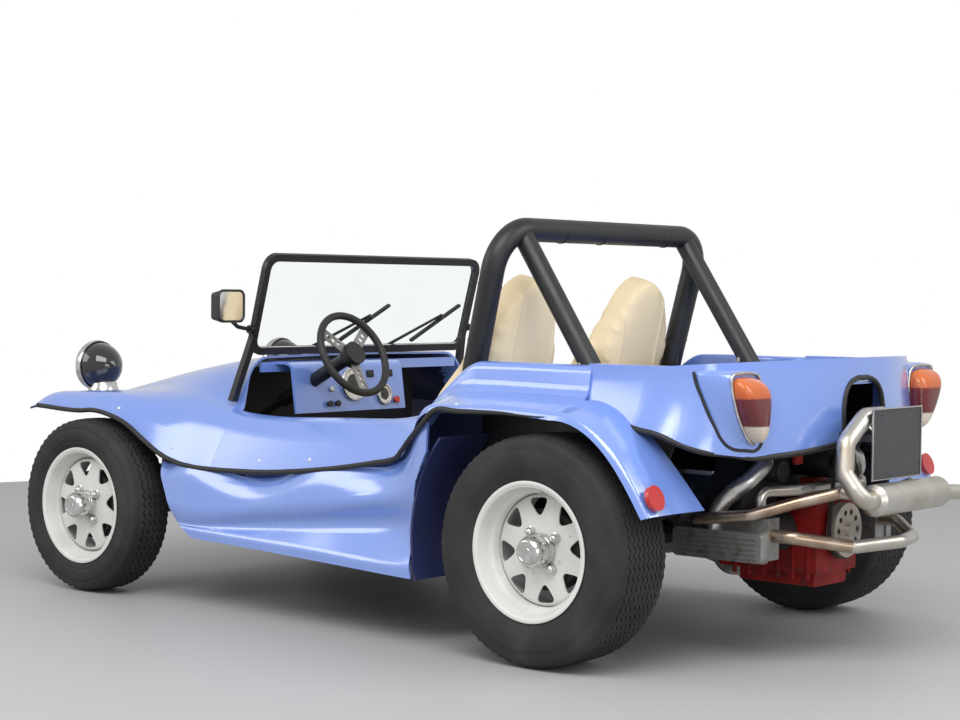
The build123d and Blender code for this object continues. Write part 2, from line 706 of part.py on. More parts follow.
# Roll bar: hoop behind the seats with two braces down to the deck
HOOP_FOOT_X = REAR_AXLE_X + 620
HOOP_TOP_X = REAR_AXLE_X + 362
BRACE_Y = 450.0
with BuildPart() as roll_bar:
    with BuildLine():
        FilletPolyline(
            (HOOP_FOOT_X, HOOP_HALF_WIDTH - 30, FLOOR_Z + FLOOR_GAUGE),
            (HOOP_TOP_X, HOOP_HALF_WIDTH, HOOP_TOP_Z),
            (HOOP_TOP_X, -HOOP_HALF_WIDTH, HOOP_TOP_Z),
            (HOOP_FOOT_X, -HOOP_HALF_WIDTH + 30, FLOOR_Z + FLOOR_GAUGE),
            radius=HOOP_BEND,
        )
    with BuildSketch(Plane(origin=(HOOP_FOOT_X, HOOP_HALF_WIDTH - 30, FLOOR_Z + FLOOR_GAUGE), z_dir=(HOOP_TOP_X - HOOP_FOOT_X, 30, HOOP_TOP_Z - FLOOR_Z - FLOOR_GAUGE))):
        Circle(HOOP_RADIUS)
    sweep()
    split(bisect_by=Plane.XY.offset(FLOOR_Z + FLOOR_GAUGE), keep=Keep.TOP)
    for side in (-1, 1):
        top = Vector(HOOP_TOP_X, side * BRACE_Y, HOOP_TOP_Z - 12)
        foot = Vector(REAR_AXLE_X + 62, side * BRACE_Y, DECK_Z + SKIN / 2)
        with BuildSketch(Plane(origin=top, z_dir=foot - top)):
            Circle(BRACE_RADIUS)
        extrude(amount=(foot - top).length + 60)
    with Locations((REAR_AXLE_X + 60, 0, DECK_Z + SKIN / 2 - 100)):
        Box(400, 1100, 200, mode=Mode.SUBTRACT)
    for side in (-1, 1):
        with BuildSketch(Plane.XY.offset(DECK_Z + SKIN / 2)):
            with Locations((REAR_AXLE_X + 62, side * BRACE_Y)):
                RectangleRounded(130, 100, 12)
        extrude(amount=6)
finish(roll_bar, "roll_bar")

# Seats: high-backed buckets, plain padded forms
with BuildPart() as seat:
    back_plane = Plane(
        origin=(REAR_AXLE_X + 672, SEAT_Y, 400),
        x_dir=(0, 1, 0),
        z_dir=(cos(radians(13)), 0, sin(radians(13))),
    )
    with BuildSketch(back_plane) as back:
        with BuildLine():
            rounded(
                [(-172, 0), (-172, 300), (-180, 520), (-120, 600), (-92, 760), (0, 800),
                 (92, 760), (120, 600), (180, 520), (172, 300), (172, 0)]
            )
            Line((172, 0), (-172, 0))
        make_face()
    extrude(amount=-105)
    with BuildSketch(Plane.XZ.offset(-(SEAT_Y - 215))):
        with BuildLine():
            rounded(
                [(REAR_AXLE_X + 566, 300), (REAR_AXLE_X + 560, 440), (REAR_AXLE_X + 700, 430), (REAR_AXLE_X + 1090, 470),
                 (REAR_AXLE_X + 1120, 420), (REAR_AXLE_X + 1085, 300)],
                0.0,
                0.3,
            )
            Line((REAR_AXLE_X + 1085, 300), (REAR_AXLE_X + 566, 300))
        make_face()
    extrude(amount=-388)
beside(seat, "seat")

SEAT_RUNNER_TOP = 300.0
with BuildPart() as seat_runners:
    for side in (-1, 1):
        with BuildSketch(Plane.XY.offset(FLOOR_Z + FLOOR_GAUGE)):
            with GridLocations(0, 300, 1, 2):
                with Locations((REAR_AXLE_X + 830, side * SEAT_Y)):
                    Rectangle(400, 30)
        extrude(amount=SEAT_RUNNER_TOP - FLOOR_Z - FLOOR_GAUGE)
finish(seat_runners, "seat_runners")

# Steering wheel: rim, three drilled spokes and a hub
with BuildPart() as steering_wheel:
    with BuildSketch(Plane(origin=wheel_centre, x_dir=column_dir, z_dir=(0, 1, 0))):
        with Locations((0, STEERING_WHEEL_RADIUS)):
            Circle(STEERING_RIM_RADIUS)
    revolve(axis=Axis(wheel_centre, column_dir))
    with BuildSketch(column_plane.offset(6)):
        for turn in (0, 130, 230):
            with Locations(Rotation(0, 0, turn)):
                with Locations((0, -STEERING_WHEEL_RADIUS / 2)):
                    Rectangle(40, STEERING_WHEEL_RADIUS)
        for turn in (0, 130, 230):
            with Locations(Rotation(0, 0, turn)):
                with Locations(*[(0, -share * STEERING_WHEEL_RADIUS) for share in (0.44, 0.6, 0.76)]):
                    Circle(8, mode=Mode.SUBTRACT)
    extrude(amount=4)
    with BuildSketch(column_plane.offset(-14)):
        Circle(42)
    extrude(amount=40)
finish(steering_wheel, "steering_wheel")

# Steering column with its box over the drop arm
BOX_BOTTOM = STEER_ARM_Z + STEER_ARM_GAUGE + 20
shaft_length = (FRONT_AXLE_X - 30 - STEERING_WHEEL_X) / cos(radians(COLUMN_SLOPE))
with BuildPart() as steering_column:
    with BuildSketch(column_plane.offset(26 + FIT)):
        Circle(COLUMN_RADIUS)
    extrude(amount=360)
    with BuildSketch(column_plane.offset(380)):
        Circle(SHAFT_RADIUS)
    extrude(amount=shaft_length - 380)
    with Locations((FRONT_AXLE_X, STEER_Y, BOX_BOTTOM)):
        Box(96, 84, 100, align=(Align.CENTER, Align.CENTER, Align.MIN))
    fillet(steering_column.edges().filter_by(Axis.Z), 14)
    with Locations((FRONT_AXLE_X, STEER_Y, BOX_BOTTOM)):
        Cylinder(KINGPIN_RADIUS + RUNNING_CLEARANCE, 40, mode=Mode.SUBTRACT)
finish(steering_column, "steering_column")

# Drop arm and tie rods: with the knuckles' arms they make two parallelograms
with BuildPart() as drop_arm:
    with BuildSketch(Plane.XY.offset(STEER_ARM_Z)):
        with Locations((FRONT_AXLE_X, STEER_Y)):
            Circle(24)
        with Locations((FRONT_AXLE_X - STEER_ARM, STEER_Y)):
            Circle(18)
        with Locations((FRONT_AXLE_X - STEER_ARM / 2, STEER_Y)):
            Rectangle(STEER_ARM, 28)
    extrude(amount=STEER_ARM_GAUGE)
    with Locations((FRONT_AXLE_X, STEER_Y, STEER_ARM_Z)):
        Cylinder(KINGPIN_RADIUS, 54, align=(Align.CENTER, Align.CENTER, Align.MIN))
    with Locations((FRONT_AXLE_X - STEER_ARM, STEER_Y, STEER_ARM_Z + STEER_ARM_GAUGE / 2)):
        Cylinder(BALL_PIN_RADIUS, 78)
finish(drop_arm, "drop_arm")

ROD_DROP = TIE_ROD_RADIUS + 2
# name, side of the car's far end, centre height
TIE_RODS = [
    ("tie_rod_left", 1, STEER_ARM_Z - ROD_DROP),
    ("tie_rod_right", -1, STEER_ARM_Z + STEER_ARM_GAUGE + ROD_DROP),
]
for name, side, rod_z in TIE_RODS:
    with BuildPart() as tie_rod:
        length = abs(side * KINGPIN_Y - STEER_Y)
        with BuildSketch(Plane.XZ.offset(-STEER_Y)):
            with Locations((FRONT_AXLE_X - STEER_ARM, rod_z)):
                Circle(TIE_ROD_RADIUS)
        extrude(amount=-side * length)
        for eye_y in (STEER_Y, side * KINGPIN_Y):
            with Locations((FRONT_AXLE_X - STEER_ARM, eye_y, rod_z)):
                Cylinder(19, 2 * TIE_ROD_RADIUS)
        for eye_y in (STEER_Y, side * KINGPIN_Y):
            with Locations((FRONT_AXLE_X - STEER_ARM, eye_y, rod_z)):
                Cylinder(BALL_PIN_RADIUS + 1, 60, mode=Mode.SUBTRACT)
    finish(tie_rod, name)

# Steering knuckles: kingpin post, stub axle, backplate and arm
for name, side in (("knuckle_left", 1), ("knuckle_right", -1)):
    drum_face = DISC_Y["front"] - 12 - RIM_WALL
    drum_back = drum_face - DRUM_WIDTH
    with BuildPart() as knuckle:
        with Locations((FRONT_AXLE_X, side * KINGPIN_Y, FRONT_TYRE_RADIUS + 6)):
            Cylinder(23, 110)
            Cylinder(KINGPIN_RADIUS, 176)
        with BuildSketch(Plane.XZ.offset(-side * KINGPIN_Y)):
            with Locations((FRONT_AXLE_X, FRONT_TYRE_RADIUS)):
                Circle(STUB_RADIUS)
        extrude(amount=-side * (drum_face - 3 - KINGPIN_Y))
        with BuildSketch(Plane.XZ.offset(-side * (drum_back - BACKPLATE_GAP))):
            with Locations((FRONT_AXLE_X, FRONT_TYRE_RADIUS)):
                Circle(DRUM_RADIUS - 4)
        extrude(amount=side * 6)
        with BuildSketch(Plane.XY.offset(STEER_ARM_Z)):
            with Locations((FRONT_AXLE_X - STEER_ARM / 2, side * KINGPIN_Y)):
                Rectangle(STEER_ARM, 26)
            with Locations((FRONT_AXLE_X - STEER_ARM, side * KINGPIN_Y)):
                Circle(17)
        extrude(amount=STEER_ARM_GAUGE)
        with Locations((FRONT_AXLE_X - STEER_ARM, side * KINGPIN_Y, STEER_ARM_Z + STEER_ARM_GAUGE / 2 - side * 15)):
            Cylinder(BALL_PIN_RADIUS, 48)
    finish(knuckle, name)

# Front axle beam: two tubes, shock towers, trailing arms and the carriers that hold the kingpins
with BuildPart() as front_beam:
    beam_x = FRONT_AXLE_X + BEAM_AHEAD
    for z in (BEAM_LOW_Z, BEAM_HIGH_Z):
        with BuildSketch(Plane.XZ.offset(-BEAM_HALF_WIDTH)):
            with Locations((beam_x, z)):
                Circle(BEAM_TUBE_RADIUS)
        extrude(amount=2 * BEAM_HALF_WIDTH)
    for side in (-1, 1):
        with BuildSketch(Plane.XZ.offset(-side * 446)):
            with BuildLine():
                rounded([(beam_x - 34, BEAM_LOW_Z), (beam_x - 36, 440), (beam_x - 80, 510), (beam_x - 74, 566), (beam_x + 22, 566), (beam_x + 36, 480), (beam_x + 34, BEAM_LOW_Z)], 0, 0.3)
                Line((beam_x + 34, BEAM_LOW_Z), (beam_x - 34, BEAM_LOW_Z))
            make_face()
        extrude(amount=side * 16)
        for z in (BEAM_LOW_Z, BEAM_HIGH_Z):
            with BuildSketch(Plane.XZ.offset(-side * BEAM_HALF_WIDTH)):
                with Locations((beam_x, z)):
                    Circle(33)
                with Locations((FRONT_AXLE_X, z)):
                    Circle(24)
                with Locations((FRONT_AXLE_X + BEAM_AHEAD / 2, z)):
                    Rectangle(BEAM_AHEAD, 40)
            extrude(amount=-side * 34)
        with Locations((FRONT_AXLE_X, side * 540, (BEAM_LOW_Z + BEAM_HIGH_Z) / 2 - 10)):
            Box(34, 44, 190)
        for z in (FRONT_TYRE_RADIUS + 6 + 76, FRONT_TYRE_RADIUS + 6 - 76):
            with BuildSketch(Plane.XY.offset(z - 10)):
                with Locations((FRONT_AXLE_X, side * KINGPIN_Y)):
                    Circle(22)
                with Locations((FRONT_AXLE_X, side * 575)):
                    Rectangle(34, 50)
                with Locations((FRONT_AXLE_X, side * KINGPIN_Y)):
                    Circle(KINGPIN_RADIUS + RUNNING_CLEARANCE, mode=Mode.SUBTRACT)
            extrude(amount=20)
    # Saddle that carries the steering box
    with Locations((FRONT_AXLE_X + 48, STEER_Y, BEAM_HIGH_Z)):
        Box(BEAM_AHEAD - 48 - 20, 56, 30, align=(Align.MIN, Align.CENTER, Align.CENTER))
finish(front_beam, "front_beam")


def tube(points, radius, bend):
    """Draw nothing; give the path plane at the first point of a pipe run."""
    return Plane(origin=points[0], z_dir=Vector(*points[1]) - Vector(*points[0]))


def behind(x, y, z):
    """A point given by its distance ahead of the rear axle."""
    return (REAR_AXLE_X + x, y, z)


# Shock absorbers, upright on the front arms and on the rear axle tubes
FRONT_SHOCK_X = FRONT_AXLE_X + 92
with BuildPart() as shock_absorbers:
    for side in (-1, 1):
        with Locations((FRONT_SHOCK_X, side * 465, 420)):
            Cylinder(15, 290)
        for pin_z, y0, y1 in ((545, 446, 470), (BEAM_LOW_Z + 6, 460, BEAM_HALF_WIDTH)):
            with BuildSketch(Plane.XZ.offset(-side * y0)):
                with Locations((FRONT_SHOCK_X, pin_z)):
                    Circle(8)
            extrude(amount=-side * (y1 - y0))
        with Locations((REAR_AXLE_X, side * 520, REAR_TYRE_RADIUS + 36 + FIT)):
            Cylinder(25, 230, align=(Align.CENTER, Align.CENTER, Align.MIN))
        with Locations((REAR_AXLE_X, side * 520, REAR_TYRE_RADIUS + 250)):
            Cylinder(9, DECK_Z - SKIN / 2 - REAR_TYRE_RADIUS - 250, align=(Align.CENTER, Align.CENTER, Align.MIN))
finish(shock_absorbers, "shock_absorbers")

# Gearbox: bell housing, final drive and nose on the crank's line
with BuildPart() as gearbox:
    with BuildSketch(Plane(origin=behind(0, 0, CRANK_Z), x_dir=(1, 0, 0), z_dir=(0, -1, 0))):
        with BuildLine():
            Polyline(
                (ENGINE_FRONT, 0), (ENGINE_FRONT, 176), (ENGINE_FRONT + 16, 176), (ENGINE_FRONT + 40, 150),
                (-60, 132), (40, 132), (92, 104), (230, 90), (318, 62), (318, 0), close=True,
            )
        make_face()
    revolve(axis=Axis(behind(0, 0, CRANK_Z), (1, 0, 0)))
    with BuildSketch(Plane.XZ.offset(-150)):
        with Locations((REAR_AXLE_X, REAR_TYRE_RADIUS)):
            Circle(68)
    extrude(amount=300)
finish(gearbox, "gearbox")

# Rear axles: swing tubes, spring plates and torsion tubes
REAR_DRUM_FACE = DISC_Y["rear"] - 12 - RIM_WALL
REAR_DRUM_BACK = REAR_DRUM_FACE - DRUM_WIDTH
with BuildPart() as rear_axles:
    for side in (-1, 1):
        # inner y, outer y, radius, ahead of the axle, z
        for y0, y1, r, ahead, z in (
            (150, REAR_DRUM_BACK - BACKPLATE_GAP, 36, 0, REAR_TYRE_RADIUS),
            (REAR_DRUM_BACK - BACKPLATE_GAP - 6, REAR_DRUM_BACK - BACKPLATE_GAP, DRUM_RADIUS - 4, 0, REAR_TYRE_RADIUS),
            (REAR_DRUM_BACK - BACKPLATE_GAP, REAR_DRUM_FACE - 3, STUB_RADIUS, 0, REAR_TYRE_RADIUS),
            (TUNNEL_WIDTH / 2, 440, 48, 352, 322),
        ):
            with BuildSketch(Plane.XZ.offset(-side * y0)):
                with Locations((REAR_AXLE_X + ahead, z)):
                    Circle(r)
            extrude(amount=-side * (y1 - y0))
        with BuildSketch(Plane.XZ.offset(-side * 430)):
            with BuildLine():
                Polyline(
                    behind(352, 278, 0)[:2], behind(352, 366, 0)[:2], behind(-30, 384, 0)[:2], behind(-30, 302, 0)[:2],
                    close=True,
                )
            make_face()
        extrude(amount=-side * 10)
finish(rear_axles, "rear_axles")

# Engine: flat four with finned barrels, heads and ribbed covers
case_mid = ENGINE_FRONT - CASE_LENGTH / 2
case_rear = ENGINE_FRONT - CASE_LENGTH
HEAD_X = -345.0
CYLINDER_X = (-262.0, -402.0)
CASE_HALF = 120.0
HEAD_WIDTH = COVER_Y - HEAD_Y
HEAD_TOP = 440.0
with BuildPart() as engine_case:
    with Locations(behind(case_mid, 0, 362)):
        Box(CASE_LENGTH, 2 * CASE_HALF, 216)
    with Locations(behind(case_mid - 20, 0, 242)):
        Box(CASE_LENGTH - 80, 190, 60)
    fillet(engine_case.edges().filter_by(Axis.X), 8)
    with Locations(behind(-445, 0, 480)):
        Box(50, 84, 118 - FIT)
    with BuildSketch(Plane.YZ.offset(REAR_AXLE_X + case_rear)):
        with Locations((0, CRANK_Z)):
            Circle(46)
    extrude(amount=-12)
finish(engine_case, "engine_case")

with BuildPart() as cylinders:
    fin_pitch, fin_count = 17.0, 9
    for side in (-1, 1):
        for x in CYLINDER_X:
            with BuildSketch(Plane(origin=behind(x, side * CASE_HALF, CRANK_Z), x_dir=(0, side, 0), z_dir=(side, 0, 0))):
                with BuildLine():
                    ridge = [(0, 0), (0, 52)]
                    for fin in range(fin_count):
                        y = 9 + fin * fin_pitch
                        ridge += [(y, 52), (y + 2, 64), (y + 7, 64), (y + 9, 52)]
                    ridge += [(HEAD_Y - CASE_HALF, 52), (HEAD_Y - CASE_HALF, 0)]
                    Polyline(*ridge, close=True)
                make_face()
            revolve(axis=Axis(behind(x, 0, CRANK_Z), (0, 1, 0)))
finish(cylinders, "cylinders")

with BuildPart() as cylinder_heads:
    for side in (-1, 1):
        with Locations(behind(HEAD_X, side * (HEAD_Y + COVER_Y) / 2, (HEAD_TOP + 316) / 2)):
            Box(310, HEAD_WIDTH, HEAD_TOP - 316)
        with Locations(*[behind(HEAD_X + x, side * (HEAD_Y + 26), HEAD_TOP - 20) for x in range(-135, 136, 30)]):
            Box(12, 34, 42, mode=Mode.SUBTRACT)
finish(cylinder_heads, "cylinder_heads")

with BuildPart() as valve_covers:
    for side in (-1, 1):
        with BuildSketch(Plane.XZ.offset(-side * COVER_Y)):
            with Locations((REAR_AXLE_X + HEAD_X, 354)):
                RectangleRounded(322, 98, 22)
        extrude(amount=-side * 40, taper=8)
        with Locations(*[behind(HEAD_X, side * (COVER_Y + 40), 354 + z) for z in (-30, -15, 0, 15, 30)]):
            Box(280, 10, 5)
finish(valve_covers, "valve_covers")

HOUSING_FRONT, HOUSING_DEPTH = -262.0, 130.0
GENERATOR_Z = 592.0
GENERATOR_RADIUS = 52.0
with BuildPart() as fan_housing:
    with BuildSketch(Plane.YZ.offset(REAR_AXLE_X + HOUSING_FRONT)):
        with BuildLine():
            rounded(
                [(-330, 450), (-330, 500), (-262, 590), (-225, 760), (0, 830), (225, 760), (262, 590), (330, 500), (330, 450)]
            )
            Line((330, 450), (-330, 450))
        make_face()
        with Locations((0, 400)):
            Rectangle(2 * CASE_HALF + 20, 160, mode=Mode.SUBTRACT)
    extrude(amount=-HOUSING_DEPTH)
    for side in (-1, 1):
        with Locations(behind(-328, side * 234, HEAD_TOP + 12)):
            Box(284, 208, 4)
finish(fan_housing, "fan_housing")

with BuildPart() as generator:
    with BuildSketch(Plane.YZ.offset(REAR_AXLE_X + HOUSING_FRONT - HOUSING_DEPTH)):
        with Locations((0, GENERATOR_Z)):
            Circle(GENERATOR_RADIUS)
    extrude(amount=-128)
    with BuildSketch(Plane.YZ.offset(REAR_AXLE_X + HOUSING_FRONT - HOUSING_DEPTH - 128)):
        with Locations((0, GENERATOR_Z)):
            Circle(14)
    extrude(amount=-46)
    with BuildSketch(Plane.YZ.offset(REAR_AXLE_X + case_rear - 11)):
        with Locations((0, GENERATOR_Z)):
            Circle(52)
    extrude(amount=-24)
    fillet(generator.edges().group_by(Axis.X)[-1], 4)
finish(generator, "generator")

with BuildPart() as crank_pulley:
    with BuildSketch(Plane.YZ.offset(REAR_AXLE_X + case_rear - 12)):
        with Locations((0, CRANK_Z)):
            Circle(PULLEY_RADIUS)
    extrude(amount=-28)
    with BuildSketch(Plane.YZ.offset(REAR_AXLE_X + case_rear - 12)):
        with Locations((0, CRANK_Z)):
            with PolarLocations(56, 10):
                Circle(9)
    extrude(amount=-40, mode=Mode.SUBTRACT)
    with BuildSketch(Plane.YZ.offset(REAR_AXLE_X + case_rear - 40)):
        with Locations((0, CRANK_Z)):
            Circle(20)
    extrude(amount=-14)
finish(crank_pulley, "crank_pulley")

with BuildPart() as fan_belt:
    for grow, how in ((7.0, Mode.ADD), (FIT, Mode.SUBTRACT)):
        with BuildSketch(Plane.YZ.offset(REAR_AXLE_X + case_rear - 17)):
            with Locations((0, CRANK_Z)):
                Circle(PULLEY_RADIUS + grow)
            with Locations((0, GENERATOR_Z)):
                Circle(52 + grow)
            make_hull()
        extrude(amount=-12, mode=how)
finish(fan_belt, "fan_belt")

with BuildPart() as intake_pipe:
    points = [behind(-440, 300, HEAD_TOP + 14), behind(-440, 300, 512), behind(-500, 180, 514)]
    points += [(x, -y, z) for x, y, z in reversed(points)]
    with BuildLine():
        FilletPolyline(*points, radius=28)
    with BuildSketch(tube(points, 17, 28)):
        Circle(17)
    sweep()
finish(intake_pipe, "intake_pipe")

# Exhaust: silencer across the back, rising pipe, headers and the pipe under it
with BuildPart() as exhaust:
    with BuildSketch(Plane(origin=(MUFFLER_X, 0, MUFFLER_Z), x_dir=(0, 1, 0), z_dir=(1, 0, 0))):
        with BuildLine():
            h = MUFFLER_LENGTH / 2
            Polyline((-h, 0), (-h, MUFFLER_RADIUS - 14), (-h + 14, MUFFLER_RADIUS), (h - 14, MUFFLER_RADIUS), (h, MUFFLER_RADIUS - 14), (h, 0), close=True)
        make_face()
    revolve(axis=Axis((MUFFLER_X, 0, MUFFLER_Z), (0, 1, 0)))
    # radius, bend, then points as distance ahead of the rear axle, y and z
    PIPE_RUNS = [
        (27, 40, [(-760, 200, 500), (-756, 262, 510), (-700, 264, 580), (-690, 240, 670), (-690, 130, 742), (-690, 30, 742)]),
        (18, 28, [(-262, COVER_Y, 424), (-262, 398, 424), (-455, 378, 449), (-560, 296, 488), (-660, 218, 520), (-728, 110, 510)]),
        (18, 28, [(-262, -COVER_Y, 424), (-262, -398, 424), (-455, -378, 449), (-560, -296, 488), (-660, -218, 520), (-728, -110, 510)]),
        (20, 40, [(-500, 318, 388), (-560, 318, 388), (-690, 180, 360), (-748, 0, 366), (-690, -180, 360), (-560, -318, 388), (-500, -318, 388)]),
        (23, 40, [(-760, -200, 500), (-770, -300, 496), (-742, -400, 486)]),
    ]
    for radius, bend, run in PIPE_RUNS:
        points = [behind(*p) for p in run]
        with BuildLine():
            FilletPolyline(*points, radius=bend)
        with BuildSketch(tube(points, radius, bend)):
            Circle(radius)
        sweep()
    tip, before_tip = behind(-742, -400, 486), behind(-770, -300, 496)
    with BuildSketch(Plane(origin=tip, z_dir=Vector(*before_tip) - Vector(*tip))):
        Circle(20)
    extrude(amount=60, mode=Mode.SUBTRACT)
finish(exhaust, "exhaust")

# Number plate on two straps from the tail
with BuildPart() as number_plate:
    with BuildSketch(Plane.YZ.offset(PLATE_X)) as plate:
        with Locations((0, 660)):
            RectangleRounded(PLATE_WIDTH, PLATE_HEIGHT, 8)
            with GridLocations(180, 0, 2, 1):
                with Locations((0, 84)):
                    Circle(3.5, mode=Mode.SUBTRACT)
    extrude(amount=2)
    for side in (-1, 1):
        with Locations((PLATE_X + 2, side * 134, 680)):
            Box(REAR_AXLE_X - 611 - FIT - PLATE_X - 2, 18, 22, align=(Align.MIN, Align.CENTER, Align.CENTER))
finish(number_plate, "number_plate")

# Headlamps on the fenders
HEADLAMP = (FRONT_AXLE_X + 272, 485.0, 797.0)
HEADLAMP_RADIUS = 88.0
with BuildPart() as lamp_footprint:
    with Locations((HEADLAMP[0] - 10, HEADLAMP[1], HEADLAMP[2] - 90)):
        Cylinder(19, 80)
    add(front_body.part, mode=Mode.INTERSECT)
LAMP_FOOT_Z = lamp_footprint.part.bounding_box().max.Z + FIT
with BuildPart() as headlamps:
    for side in (-1, 1):
        centre = (HEADLAMP[0], side * HEADLAMP[1], HEADLAMP[2])
        with BuildSketch(Plane(origin=centre, x_dir=(1, 0, 0), z_dir=(0, -1, 0))):
            with BuildLine():
                Line((-84, 0), (30, 0))
                Line((30, 0), (30, 78))
                Line((30, 78), (42, 80))
                ThreePointArc((42, 80), (30, HEADLAMP_RADIUS + 4), (14, HEADLAMP_RADIUS))
                ThreePointArc((14, HEADLAMP_RADIUS), (-48, 62), (-84, 0))
            make_face()
        revolve(axis=Axis(centre, (1, 0, 0)))
        with Locations((centre[0] - 10, centre[1], LAMP_FOOT_Z)):
            Cylinder(19, centre[2] - 70 - LAMP_FOOT_Z, align=(Align.CENTER, Align.CENTER, Align.MIN))
finish(headlamps, "headlamps")

with BuildPart() as headlamp_lenses:
    for side in (-1, 1):
        centre = (HEADLAMP[0], side * HEADLAMP[1], HEADLAMP[2])
        with BuildSketch(Plane(origin=centre, x_dir=(1, 0, 0), z_dir=(0, -1, 0))):
            with BuildLine():
                Polyline((30, 0), (30, 77), (36, 77), (44, 56), (50, 30), (52, 0), close=True)
            make_face()
        revolve(axis=Axis(centre, (1, 0, 0)))
finish(headlamp_lenses, "headlamp_lenses")

# Tail lamps: fairings on the tail's corners with upright lenses
with BuildPart() as lamp_pods:
    for side in (-1, 1):
        for x, y, z, w, h in ((-330, 640, 782, 50, 150), (-420, 606, 778, 128, 204), (-505, 545, 768, 172, 220)):
            with BuildSketch(Plane.YZ.offset(REAR_AXLE_X + x)):
                with Locations((side * y, z)):
                    RectangleRounded(w, h, 24)
        loft()
    add(lamp_seat.part, mode=Mode.SUBTRACT)
finish(lamp_pods, "lamp_pods")

with BuildPart() as tail_lamps:
    for side in (-1, 1):
        for x, y, z, w, h in ((-505, 545, 768, 146, 200), (-560, 548, 768, 140, 196), (-584, 552, 768, 112, 172)):
            with BuildSketch(Plane.YZ.offset(REAR_AXLE_X + x)):
                with Locations((side * y, z)):
                    RectangleRounded(w, h, 26)
        loft()
    add(lamp_seat.part, mode=Mode.SUBTRACT)
finish(tail_lamps, "tail_lamps")

reflector_out = Vector(-0.94, 0, 0.34).normalized()
with BuildPart() as reflector_trial:
    with BuildSketch(Plane(origin=Vector(*behind(-406, 805, 526)) + reflector_out * 30, z_dir=reflector_out)):
        Circle(37)
    extrude(amount=14)
REFLECTOR_SET = 29 - reflector_trial.part.distance_to(rear_body.part) + FIT
with BuildPart() as reflectors:
    for side in (-1, 1):
        with BuildSketch(
            Plane(origin=Vector(*behind(-406, side * 805, 526)) + reflector_out * REFLECTOR_SET, z_dir=reflector_out)
        ):
            Circle(37)
        extrude(amount=14)
finish(reflectors, "reflectors")

# Door mirrors on the screen frame, and wipers on its lower rail
MIRROR = (DASH_X - 30, 700.0, 1036.0)
with BuildPart() as mirrors:
    for side in (-1, 1):
        with BuildSketch(Plane.YZ.offset(MIRROR[0] - 22)):
            with Locations((side * MIRROR[1], MIRROR[2])):
                RectangleRounded(124, 112, 22)
        extrude(amount=44, taper=12)
        clamp = Vector(DASH_X + 4 - 88 * tan(radians(SCREEN_LEAN)), side * (SCREEN_HALF_WIDTH + FIT), SCREEN_FOOT_Z + 88)
        elbow = Vector(MIRROR[0] + 10, side * 640, 965)
        end = Vector(MIRROR[0] + 8, side * 690, 1000)
        arm = clamp + Vector(0, side * 8, 0)
        with BuildLine():
            FilletPolyline(arm, elbow, end, radius=20)
        with BuildSketch(Plane(origin=arm, z_dir=elbow - arm)):
            Circle(7)
        sweep()
        with BuildSketch(Plane.XZ.offset(-side * (SCREEN_HALF_WIDTH + FIT))):
            with Locations((clamp.X, clamp.Z)):
                Circle(15)
        extrude(amount=-side * 14)
finish(mirrors, "mirrors")

# Wipers rest across the screen, tips towards the right
WIPER_PIVOTS = (250, -152)
with BuildPart() as wipers:
    for y in WIPER_PIVOTS:
        with BuildSketch(screen_plane.offset(11)):
            with Locations((y, 13)):
                Circle(10)
        extrude(amount=14)
        with BuildSketch(screen_plane.offset(15)):
            with BuildLine():
                Polyline((y + 5, 8), (y - 280, 130), (y - 284, 140), (y - 2, 22), close=True)
            make_face()
        extrude(amount=6)
        with BuildSketch(screen_plane.offset(6)):
            with BuildLine():
                Polyline((y - 130, 32), (y - 372, 172), (y - 368, 180), (y - 126, 40), close=True)
            make_face()
        extrude(amount=14)
finish(wipers, "wipers")

# Instruments on the dash panel
panel_normal = Vector(-166, 0, 24).normalized()
with BuildPart() as gauges:
    # y, z, radius
    for y, z, r in ((157, 757, 58), (0, 716, 36)):
        x = DASH_X - 120 + 24 * (z - 662) / 166
        with BuildSketch(Plane(origin=(x, y, z), z_dir=panel_normal)):
            Circle(r)
        extrude(amount=9)
finish(gauges, "gauges")
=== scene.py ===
import json
import math

import bpy
from mathutils import Matrix, Vector


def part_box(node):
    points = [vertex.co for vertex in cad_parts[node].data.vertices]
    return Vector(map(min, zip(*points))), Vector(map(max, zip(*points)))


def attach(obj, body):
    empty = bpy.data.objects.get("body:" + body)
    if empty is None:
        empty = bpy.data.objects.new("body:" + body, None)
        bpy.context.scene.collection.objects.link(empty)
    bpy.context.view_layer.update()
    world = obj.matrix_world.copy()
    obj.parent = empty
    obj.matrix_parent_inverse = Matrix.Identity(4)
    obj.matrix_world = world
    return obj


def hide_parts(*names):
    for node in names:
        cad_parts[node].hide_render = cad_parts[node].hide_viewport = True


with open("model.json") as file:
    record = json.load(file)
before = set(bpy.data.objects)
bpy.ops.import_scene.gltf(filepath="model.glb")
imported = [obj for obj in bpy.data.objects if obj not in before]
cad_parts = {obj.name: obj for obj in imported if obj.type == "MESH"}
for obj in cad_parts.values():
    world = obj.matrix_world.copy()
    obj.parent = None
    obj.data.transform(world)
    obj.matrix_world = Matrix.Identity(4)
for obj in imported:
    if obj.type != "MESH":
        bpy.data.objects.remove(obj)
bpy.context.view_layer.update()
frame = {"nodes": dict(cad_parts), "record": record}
nodes = frame["nodes"]
scene = bpy.context.scene
scene.view_settings.view_transform = "Standard"
print("frame loaded with", len(nodes), "CAD pieces")

rearAxleX = -0.831  # metres, where the frame has the rear axle
frontAxle = 2100.0  # millimetres ahead of the rear axle
sideNames = {1: "left", -1: "right"}


def spot(ahead, left, up):  # millimetres from the rear axle, the centre line and the ground
    return Vector((rearAxleX + ahead / 1000, left / 1000, up / 1000))


def shaderOf(mat):
    return mat.node_tree.nodes["Principled BSDF"]


def setInputs(node, values):
    for name, value in values.items():
        node.inputs[name].default_value = value


